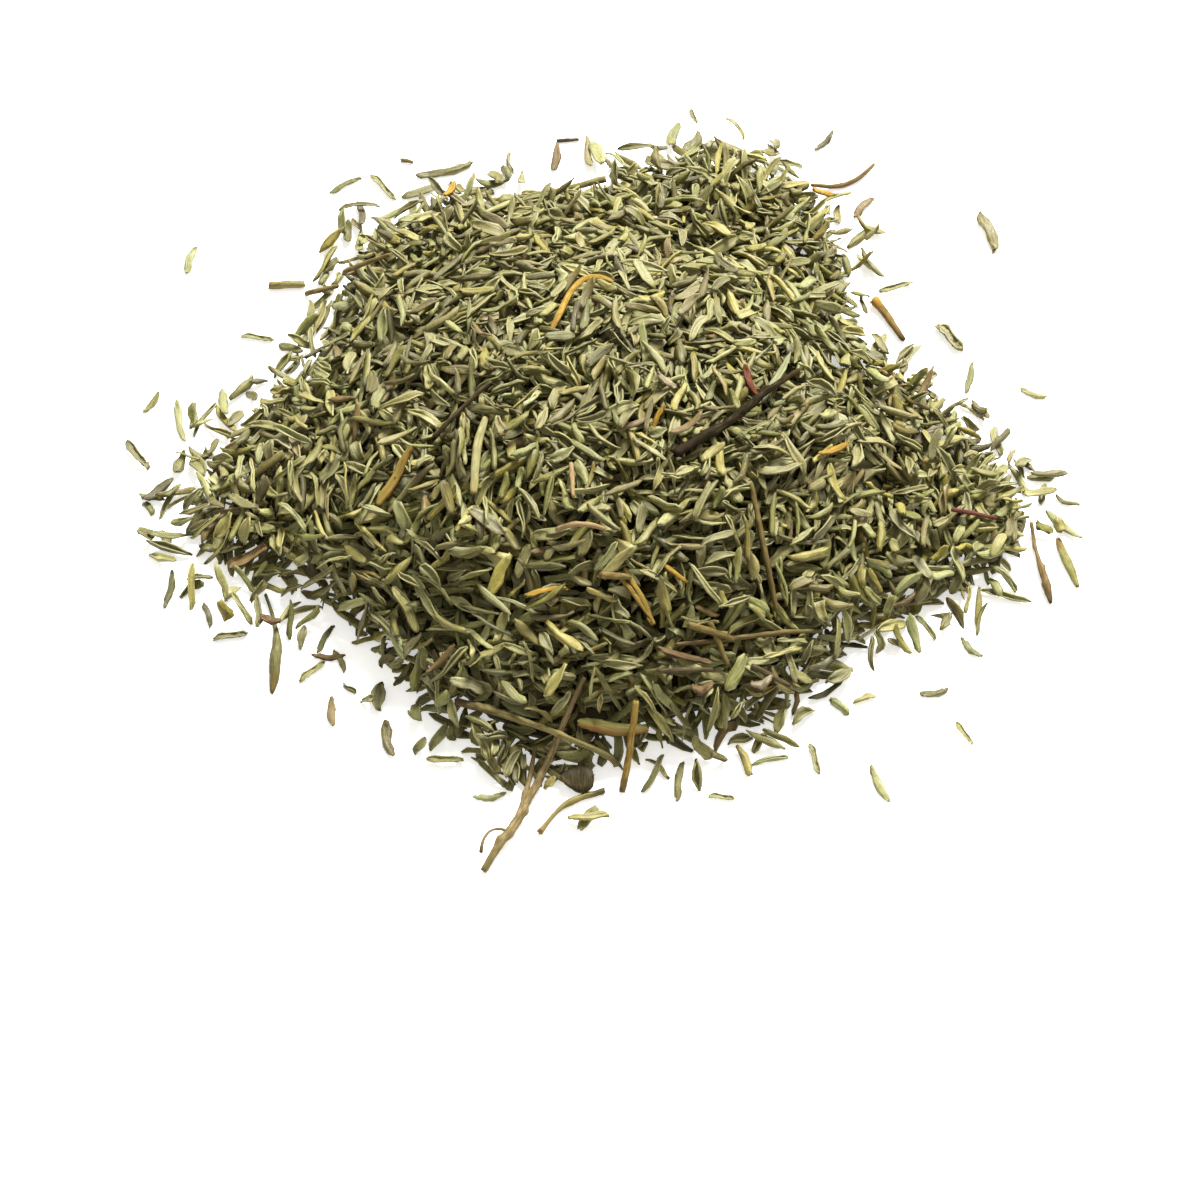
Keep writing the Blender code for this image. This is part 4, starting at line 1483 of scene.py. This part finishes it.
# %% Stems
STEM_LOOKS = {
    "crossing_twig": dict(
        colours=((0.078, 0.053, 0.016), (0.155, 0.125, 0.041), (0.252, 0.221, 0.087)),
        start=(0.055, 0.028, 0.012), end=(0.116, 0.101, 0.034), ridge=0.16,
        knots=((0.12, 1.5, 0.22), (0.34, 1.0, 0.18), (0.62, 2.2, 0.14))),
    "bent_stalk": dict(
        colours=((0.101, 0.077, 0.018), (0.181, 0.149, 0.044), (0.252, 0.216, 0.078)),
        start=(0.172, 0.115, 0.037), end=(0.050, 0.038, 0.018), ridge=0.14,
        knots=((0.55, 0.5, 0.14), (0.78, 2.0, 0.12))),
    "gold_stub": dict(
        colours=((0.128, 0.064, 0.012), (0.224, 0.138, 0.024), (0.299, 0.207, 0.053)),
        start=(0.085, 0.051, 0.019), end=(0.194, 0.130, 0.026), ridge=0.10, flat=0.8,
        knots=((0.45, 1.2, 0.08),)),
    "dark_stem": dict(
        colours=((0.005, 0.003, 0.001), (0.014, 0.010, 0.004), (0.045, 0.033, 0.014)),
        start=(0.022, 0.015, 0.009), end=(0.028, 0.017, 0.004), ridge=0.24, gloss=0.04,
        knots=((0.22, 2.0, 0.20), (0.47, 0.8, 0.22), (0.70, 2.4, 0.16))),
    "brown_stalk": dict(
        colours=((0.041, 0.026, 0.007), (0.081, 0.058, 0.015), (0.140, 0.104, 0.030)),
        ridge=0.14, knots=((0.30, 1.0, 0.10), (0.64, 2.5, 0.10))),
    "rear_stalk": dict(
        colours=((0.081, 0.064, 0.022), (0.140, 0.122, 0.044), (0.210, 0.191, 0.074)),
        start=(0.210, 0.116, 0.026), ridge=0.12, knots=((0.5, 1.2, 0.10),)),
    "curved_stalk": dict(
        colours=((0.058, 0.032, 0.010), (0.111, 0.067, 0.021), (0.175, 0.122, 0.044)),
        end=(0.140, 0.110, 0.037), ridge=0.14, knots=((0.42, 1.4, 0.10),)),
    "bud_stalk": dict(
        colours=((0.068, 0.042, 0.013), (0.129, 0.084, 0.028), (0.203, 0.151, 0.053)),
        end=(0.050, 0.031, 0.010), ridge=0.20, slim=0.62,
        knots=((0.28, 0.6, 0.24), (0.55, 2.6, 0.26), (0.78, 0.4, 0.22))),
    "right_sliver": dict(
        colours=((0.081, 0.070, 0.018), (0.163, 0.147, 0.044), (0.244, 0.231, 0.080)),
        start=(0.149, 0.084, 0.022), ridge=0.12, flat=0.6),
    "knobbed_stalk": dict(
        colours=((0.058, 0.030, 0.006), (0.121, 0.070, 0.013), (0.204, 0.140, 0.033)),
        start=(0.276, 0.145, 0.012), end=(0.049, 0.026, 0.006), ridge=0.16,
        knots=((0.55, 1.6, 0.14),)),
    "flower_stalk": dict(
        colours=((0.055, 0.049, 0.015), (0.106, 0.097, 0.033), (0.161, 0.157, 0.059)),
        start=(0.038, 0.037, 0.015), end=(0.101, 0.065, 0.015), ridge=0.08,
        fluted=7, slim=0.8),
    "orange_curl": dict(
        colours=((0.120, 0.058, 0.004), (0.225, 0.130, 0.011), (0.330, 0.225, 0.044)),
        start=(0.150, 0.080, 0.007), ridge=0.12, flat=0.5, slim=0.84),
    "straw_blade": dict(
        colours=((0.140, 0.125, 0.045), (0.230, 0.208, 0.088), (0.320, 0.290, 0.140)),
        start=(0.241, 0.200, 0.073), ridge=0.10, flat=0.55, fluted=3),
    "thin_stem": dict(
        colours=((0.049, 0.032, 0.010), (0.099, 0.067, 0.021), (0.163, 0.122, 0.041)),
        start=(0.116, 0.075, 0.033), end=(0.076, 0.075, 0.018), ridge=0.12,
        knots=((0.36, 0.9, 0.10), (0.72, 2.1, 0.10))),
    "pale_stub": dict(
        colours=((0.102, 0.084, 0.029), (0.175, 0.150, 0.053), (0.241, 0.216, 0.086)),
        start=(0.120, 0.078, 0.021), ridge=0.14, knots=((0.5, 1.0, 0.14),)),
}

for count, (name, look) in enumerate(STEM_LOOKS.items()):
    bm = bmesh.new()
    course = np.array(stem_course(name)) * (1.0, 1.0, 1.0, look.get("slim", 1.0))
    grow_stem(bm, course, count + 1, look["ridge"], look.get("flat", 1.0),
              look.get("knots", ()), look.get("fluted", 0))
    bark = bark_material(name + "_bark", *look["colours"], look.get("start"), look.get("end"),
                         gloss=look.get("gloss", BARK_GLOSS))
    slot = "dark_bark" if name == "dark_stem" else "twig_bark"
    finish_piece(piece_from(bm, name + "_fine"), bark, slot, name)

# %% [markdown]
# The forked twig at the front is three stems in one: the main one, a second that leaves it
# low down, and a dried tendril that curls off near the bottom. Their courses are given as
# shares of the loaded twig's box, and the height comes from a ray dropped on it.

# %% Forked twig
TWIG_COURSES = {           # shares of the box's width and depth, radius
    "main": ((0.04, 0.01, 0.46), (0.18, 0.14, 0.54), (0.33, 0.27, 0.60), (0.44, 0.41, 0.56),
             (0.58, 0.57, 0.50), (0.71, 0.71, 0.44), (0.84, 0.85, 0.38), (0.98, 0.99, 0.30)),
    "side": ((0.39, 0.36, 0.42), (0.43, 0.46, 0.36), (0.47, 0.58, 0.32), (0.52, 0.71, 0.26)),
    "tendril": ((0.27, 0.22, 0.24), (0.19, 0.25, 0.17), (0.09, 0.22, 0.16), (0.03, 0.16, 0.18),
                (0.02, 0.10, 0.27)),
}
TWIG_KNOTS = {
    "main": ((0.16, 2.6, 0.34), (0.20, 0.2, 0.20), (0.33, 0.0, 0.34), (0.52, 2.4, 0.20),
             (0.71, 0.6, 0.18)),
    "side": ((0.25, 2.6, 0.22), (0.62, 0.4, 0.12)),
    "tendril": ((0.5, 1.5, 0.08),),
}
twig_low, twig_high = (np.array(corner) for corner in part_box("front_twig"))
twig_tree = ray_tree(nodes["front_twig"])
bm = bmesh.new()
for count, (name, shares) in enumerate(TWIG_COURSES.items()):
    course = []
    for across, back, radius in shares:
        x, y = (twig_low + np.array([across, back, 0.0]) * (twig_high - twig_low))[:2]
        hit = twig_tree.ray_cast(Vector((x, y, RAY_FROM)), DOWN)[0]
        if hit is None:
            hit = twig_tree.find_nearest(Vector((x, y, twig_low[2])))[0]
        course.append((x / MM, y / MM, hit.z / MM - radius * 0.9, radius))
    grow_stem(bm, course, 40 + count, 0.14, 0.95, TWIG_KNOTS[name])
twig_bark = bark_material("front_twig_bark", (0.066, 0.043, 0.015), (0.160, 0.116, 0.045),
                          (0.290, 0.232, 0.110), (0.135, 0.106, 0.035), (0.080, 0.050, 0.020))
finish_piece(piece_from(bm, "front_twig_fine"), twig_bark, "twig_bark", "front_twig")

# %% [markdown]
# Between the leaves lie a few husks: the dry leaf-like scales of the flower heads and older,
# larger leaves, golden, brown or grey. Their skin is dry fibre. Noise that is squeezed across
# the blade gives the fibres, and the edge, where the scale tore off or withered first, has a
# colour of its own, whose border wanders.

# %% Husk material
HUSK_ROUGHNESS = 0.6


def husk_material(name, dark, main, light, edge, edge_from=0.28, near_side=False):
    """A thin dry blade: fibres along it, and an edge of another colour on both sides or one."""
    material, tree, shader = blank_material(name, HUSK_ROUGHNESS)
    shader.inputs["Specular IOR Level"].default_value = BARK_GLOSS
    uv = add_node(tree, "ShaderNodeUVMap", {"uv_map": "LeafUV"}).outputs["UV"]
    split = add_node(tree, "ShaderNodeSeparateXYZ")
    join(tree, uv, split.inputs[0])
    squeeze = add_node(tree, "ShaderNodeMapping")
    squeeze.inputs["Scale"].default_value = (1.6, 11.0, 1.0)
    join(tree, uv, squeeze.inputs["Vector"])
    fibre = noise_at(tree, squeeze.outputs["Vector"], Scale=1.5, Detail=4.0, Roughness=0.6)
    patches = noise_at(tree, uv, Scale=4.0, Detail=2.0)
    base = ramp(tree, ((0.32, dark), (0.50, main), (0.68, light)), fibre)
    rim = maths(tree, "SUBTRACT", 0.5, split.outputs["Y"])
    if not near_side:
        rim = maths(tree, "ABSOLUTE", rim)
    rim = maths(tree, "ADD", rim, swing(tree, patches, 0.35))
    base = mix_colours(tree, "MIX", rescale(tree, rim, edge_from, 0.48), base, edge)
    join(tree, base, shader.inputs["Base Color"])
    join(tree, rescale(tree, fibre, 0.3, 0.7, HUSK_ROUGHNESS + 0.12, HUSK_ROUGHNESS - 0.1),
         shader.inputs["Roughness"])
    add_relief(tree, shader, fibre, 0.8, 0.00014)
    return material


# %% [markdown]
# A husk is modelled like a leaf, because it is one: rolled, grooved and crinkled, only with
# more faces and a thinner, calmer blade. It is stretched and turned to fill the space of the
# loaded piece, and flipped over where the hollow side shows.

# %% Fit a blade to a loaded piece
HUSK_FACES = (16, 8)       # along and across
HUSK_LENGTH = 5.0          # before it is stretched, in millimetres
HUSK_WALL = 0.15
HUSK_CRINKLE = 0.035


def fitted_blade(bm, name, sizes, flip, squeeze=(1.0, 1.0), lean=0.0, bake_part=(0.0, 1.0)):
    """Add a fine leaf, stretched and turned to lie where a loaded piece lies."""
    half_width, roll, groove, base, tip = sizes
    mesh = make_leaf(name, half_width, roll, groove, base, tip, HUSK_LENGTH, *HUSK_FACES,
                     crinkle=HUSK_CRINKLE, wall=HUSK_WALL, bend=CALM_BEND)
    points = mesh_points(mesh)
    points = points / np.abs(points).max(axis=0)
    if flip:
        points = points * np.array([1.0, -1.0, -1.0])
    points[:, 1] = points[:, 1] * squeeze[0] + lean * (1.0 - points[:, 0]) / 2
    points[:, 2] *= squeeze[1]
    middle, axes, half = lie_of(name)
    spot = (points * half) @ axes.T + middle
    mesh.vertices.foreach_set("co", (spot * MM).astype(np.float32).ravel())
    cells = bake_map(mesh)
    cells[:, 0] = bake_part[0] + bake_part[1] * cells[:, 0]
    mesh.uv_layers["OFBake"].uv.foreach_set("vector", cells.ravel())
    bm.from_mesh(mesh)
    bpy.data.meshes.remove(mesh)


# %% Husks and large leaves
HUSKS = {                  # half width, roll, groove, base, tip; colours; edge, its start, one side
    "front_husk": ((0.95, 1.35, 0.10, 0.35, 0.45),
                   ((0.075, 0.060, 0.014), (0.150, 0.140, 0.032), (0.245, 0.225, 0.072)),
                   ((0.140, 0.055, 0.012), -0.12, True), False),
    "long_leaf": ((0.60, 1.30, 0.26, 0.30, 0.20),
                  ((0.100, 0.100, 0.046), (0.170, 0.175, 0.088), (0.270, 0.262, 0.150)),
                  ((0.080, 0.070, 0.035), 0.30, False), False),
    "gold_husk": ((0.80, 1.10, 0.14, 0.30, 0.25),
                  ((0.110, 0.064, 0.010), (0.218, 0.146, 0.026), (0.310, 0.240, 0.070)),
                  ((0.090, 0.032, 0.009), 0.16, True), False),
    "yellow_leaf": ((0.75, 0.90, 0.20, 0.35, 0.20),
                    ((0.110, 0.098, 0.026), (0.190, 0.176, 0.056), (0.280, 0.260, 0.110)),
                    ((0.080, 0.065, 0.020), 0.32, False), True),
    "rear_husk": ((0.90, 1.20, 0.15, 0.40, 0.30),
                  ((0.110, 0.088, 0.045), (0.200, 0.172, 0.092), (0.300, 0.275, 0.175)),
                  ((0.080, 0.055, 0.025), 0.30, False), False),
    "rear_brown_husk": ((0.80, 1.30, 0.20, 0.50, 0.50),
                        ((0.070, 0.045, 0.018), (0.135, 0.095, 0.042), (0.215, 0.170, 0.092)),
                        ((0.070, 0.042, 0.018), 0.28, False), False),
    "woody_chip": ((0.90, 1.20, 0.12, 0.85, 0.70),
                   ((0.080, 0.046, 0.015), (0.225, 0.148, 0.056), (0.350, 0.268, 0.135)),
                   ((0.050, 0.026, 0.011), 0.30, False), True),
}


for name, (sizes, colours, edge, flip) in HUSKS.items():
    bm = bmesh.new()
    fitted_blade(bm, name, sizes, flip)
    husk = husk_material(name + "_skin", *colours, *edge)
    finish_piece(piece_from(bm, name + "_fine"), husk, "dry_husk", name)

# %% [markdown]
# One golden husk is split down its length. Two narrow blades share its space: they meet at
# one end, lean away from each other towards the other, and share one bake map.

# %% Split husk
SPLIT_SIZES = (0.70, 1.20, 0.10, 0.30, 0.20)  # half width, roll, groove, base, tip
SPLIT_SQUEEZE = (0.55, 0.8)        # share of the width and height that each blade gets
SPLIT_LEAN = 0.55
bm = bmesh.new()
for part, side in enumerate((-1.0, 1.0)):
    fitted_blade(bm, "split_husk", SPLIT_SIZES, False, SPLIT_SQUEEZE, side * SPLIT_LEAN,
                 (part * 0.5, 0.5))
husk = husk_material("split_husk_skin", (0.140, 0.080, 0.012), (0.270, 0.175, 0.030),
                     (0.370, 0.290, 0.085), (0.095, 0.040, 0.010), 0.22)
finish_piece(piece_from(bm, "split_husk_fine"), husk, "dry_husk", "split_husk")

# %% [markdown]
# The broad dark scrap at the front is a piece of an older leaf: a thin plate with ribs and
# a torn edge. Its loaded plate is copied, its faces are divided, and smooth noise raises
# the ribs and frets the edge.

# %% Dark scrap
RIB_HEIGHT = 0.10          # millimetres
FRAY = 0.12                # how far noise frets the edge, as a share of the half sizes
LOBES = 0.14               # and how far it swings out in three lobes
LOBE_TURN = 1.9            # radians
SCRAP_WIDTH = 0.82         # share of the width that is left for the frayed scrap
bm = bmesh.new()
bm.from_mesh(nodes["dark_flake"].data)
bmesh.ops.remove_doubles(bm, verts=bm.verts, dist=SAME_POINT)
bmesh.ops.subdivide_edges(bm, edges=bm.edges[:], cuts=2, use_grid_fill=True)
middle, axes, half = lie_of("dark_flake")
scrap_uv = bm.loops.layers.uv.new("LeafUV")
local = {vert: ((np.array(vert.co) / MM - middle) @ axes) / half for vert in bm.verts}
for face in bm.faces:
    for loop in face.loops:
        loop[scrap_uv].uv = local[loop.vert][:2] / 2 + 0.5
for vert in bm.verts:
    along, across, up = local[vert]
    rim = max(abs(along), abs(across))
    ribs = RIB_HEIGHT * math.sin(across * 9.0) * (1.0 - rim**4)
    fray = (FRAY * noise.noise(Vector((along, across, 0.0)) * 3.0)
            + LOBES * math.cos(3.0 * math.atan2(across, along) + LOBE_TURN)) * rim**2
    spot = axes @ (local[vert] * half * np.array([1.0 + fray, 1.0 + fray, 1.0]))
    spot = middle + spot * np.array([1.0, SCRAP_WIDTH, 1.0])
    vert.co = Vector(spot + axes[:, 2] * ribs) * MM
bmesh.ops.recalc_face_normals(bm, faces=bm.faces)
scrap = husk_material("dark_scrap_skin", (0.018, 0.012, 0.004), (0.042, 0.031, 0.011),
                      (0.075, 0.060, 0.026), (0.110, 0.050, 0.012), 0.40)
finish_piece(piece_from(bm, "dark_flake_fine"), scrap, "dry_husk", "dark_flake")

# %% [markdown]
# Small broken bits lie on top of the heap: ends of stalks, red and orange chips, straw
# and brown flakes. They are too small to be parts of the loaded model, so tables say what
# each one is, where it lies as a share of the heap's box, its heading and its size. The
# stick ends come first, with the colours of their barks.

# %% Stick ends, a table
STICKS = {                 # share across and back, heading, length, radius, arch of each stick
    "pink": (((0.46, 0.31), -87, 5.5, 0.28, 0.2), ((0.47, 0.25), -5, 6.1, 0.34, 1.3)),
    "brown": (((0.63, 0.13), -62, 5.0, 0.36, 0.0), ((0.20, 0.77), -13, 6.9, 0.34, 0.2),
              ((0.51, 0.19), 18, 4.0, 0.45, 0.0), ((0.24, 1.02), -13, 1.8, 0.28, 0.3),
              ((0.14, 0.77), -14, 4.9, 0.36, 0.1), ((0.62, 0.14), -2, 5.8, 0.40, 0.1)),
    "dark": (((0.59, 0.09), 4, 6.8, 0.34, 0.1), ((0.69, 0.10), -18, 5.2, 0.36, 0.0),
             ((0.45, 1.06), 5, 3.2, 0.28, 0.0), ((0.33, 0.44), 34, 9.0, 0.32, 0.3)),
    "red": (((0.94, 0.36), -5, 6.0, 0.30, 0.1),),
}
STICK_LOOKS = {            # dark, main, light
    "pink": ((0.120, 0.066, 0.022), (0.225, 0.150, 0.062), (0.320, 0.240, 0.125)),
    "brown": ((0.042, 0.026, 0.006), (0.112, 0.076, 0.018), (0.205, 0.162, 0.055)),
    "dark": ((0.015, 0.010, 0.004), (0.045, 0.031, 0.011), (0.105, 0.085, 0.036)),
    "red": ((0.030, 0.007, 0.005), (0.080, 0.018, 0.012), (0.120, 0.048, 0.030)),
}
print("stick ends:", sum(len(sticks) for sticks in STICKS.values()))

# %% Chips and flakes, a table
CHIPS = {                  # share across and back, heading, length, width of each chip
    "red": (((0.67, 0.49), -73, 4.7, 1.2),),
    "orange": (((0.56, 0.42), 62, 3.6, 0.9), ((0.77, 0.41), 28, 4.7, 1.2),
               ((0.58, 0.20), -20, 4.0, 0.9), ((0.43, 0.18), 14, 5.8, 1.0),
               ((0.30, 0.93), 70, 4.2, 1.3), ((0.78, 0.93), 20, 4.8, 1.4)),
    "olive": (((0.43, 0.17), 20, 6.3, 1.1), ((1.03, 0.37), -31, 2.7, 1.6)),
    "brown": (((0.61, 0.07), 0, 3.0, 2.0), ((0.59, 0.11), -9, 7.7, 1.2),
              ((0.10, 0.22), -24, 3.0, 1.3), ((0.17, 0.17), -6, 4.6, 1.1)),
    "beige": (((0.68, 0.09), 0, 3.0, 1.8), ((0.57, 0.47), -20, 3.4, 1.4)),
}
CHIP_LOOKS = {             # dark, main, light, edge
    "red": ((0.045, 0.009, 0.003), (0.100, 0.023, 0.007), (0.160, 0.060, 0.022),
            (0.055, 0.018, 0.004)),
    "orange": ((0.150, 0.075, 0.006), (0.260, 0.155, 0.016), (0.360, 0.255, 0.055),
               (0.140, 0.060, 0.012)),
    "olive": ((0.085, 0.078, 0.016), (0.170, 0.160, 0.036), (0.250, 0.235, 0.080),
              (0.070, 0.055, 0.016)),
    "brown": ((0.048, 0.026, 0.010), (0.115, 0.068, 0.026), (0.200, 0.140, 0.066),
              (0.050, 0.026, 0.010)),
    "beige": ((0.180, 0.140, 0.080), (0.300, 0.250, 0.155), (0.400, 0.360, 0.250),
              (0.160, 0.110, 0.060)),
}


print("chips:", sum(len(chips) for chips in CHIPS.values()))

# %% [markdown]
# Each bit comes to rest on the leaves as they did on each other. A stick end is grown like
# a stem, along a short course with a slight arch. A chip is one of the fine leaf shapes,
# stretched to its size and given a husk's skin.

# %% Lay the stick ends
def resting(shares, degrees, half_length, half_width):
    """Middle in millimetres and slope of a bit that lies on the leaves."""
    low, high = np.array(heap_low)[:2] / MM, np.array(heap_high)[:2] / MM
    x, y = low + np.array(shares) * (high - low)
    heading = math.radians(degrees)
    level, slope = come_to_rest(np.array([x]), np.array([y]), np.array([heading]), half_length,
                                half_width, ground, np.array([0.5]))
    return x, y, float(level[0]), heading, float(slope[0])


STICK_KNOTS = ((0.4, 1.0, 0.1),)   # place along it, side and height
BIT_LIFT = 0.6             # share of its half height by which a bit's middle is over the leaves
for look, sticks in STICKS.items():
    bm = bmesh.new()
    for count, (shares, degrees, length, radius, arch) in enumerate(sticks):
        x, y, level, heading, slope = resting(shares, degrees, length / 2, radius)
        course = []
        for t in np.linspace(-1.0, 1.0, 5):
            ahead = t * length / 2
            height = level + BIT_LIFT * radius + slope * ahead + arch * (1.0 - t * t)
            course.append((x + ahead * math.cos(heading), y + ahead * math.sin(heading),
                           max(height, radius), radius * (1.0 - 0.12 * t)))
        grow_stem(bm, course, 70 + count, 0.16, 0.9, STICK_KNOTS)
    bark = bark_material(f"{look}_stick_bark", *STICK_LOOKS[look])
    finish_piece(piece_from(bm, f"{look}_sticks"), bark, "twig_bark")

# %% Lay the chips and flakes
for look, chips in CHIPS.items():
    rows = []
    for count, (shares, degrees, length, width) in enumerate(chips):
        kind = LOOSE_KINDS[(count * 2 + len(look)) % len(LOOSE_KINDS)]
        x, y, level, heading, slope = resting(shares, degrees, length / 2, width / 2)
        girth = width / 2 / REACH[kind][1]
        row = [x, y, level + BIT_LIFT * REACH[kind][2] * girth, heading, slope, 0.0, kind,
               length / 2 / REACH[kind][0], girth, 0.0, 0.0]
        row[2] += below_floor(row)
        rows.append(row)
    husk = husk_material(f"{look}_chip_skin", *CHIP_LOOKS[look])
    finish_piece(gather_leaves(f"{look}_chips", np.array(rows), looks_rng), husk, "dry_husk")

# %% [markdown]
# Last, the boxes round the loaded model and round the finished look are printed side by
# side, which shows how far the leaves that stick out reach past the loaded shape. The leaves
# that stick out must stay close to the loaded shape.

# %% Sizes and finish
LOOK_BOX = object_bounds()
for side, loaded, look in zip(("low", "high"), CAD_BOX, LOOK_BOX):
    print(side, "corner, loaded and finished, in mm:",
          *(tuple(round(c / MM, 1) for c in corner) for corner in (loaded, look)))
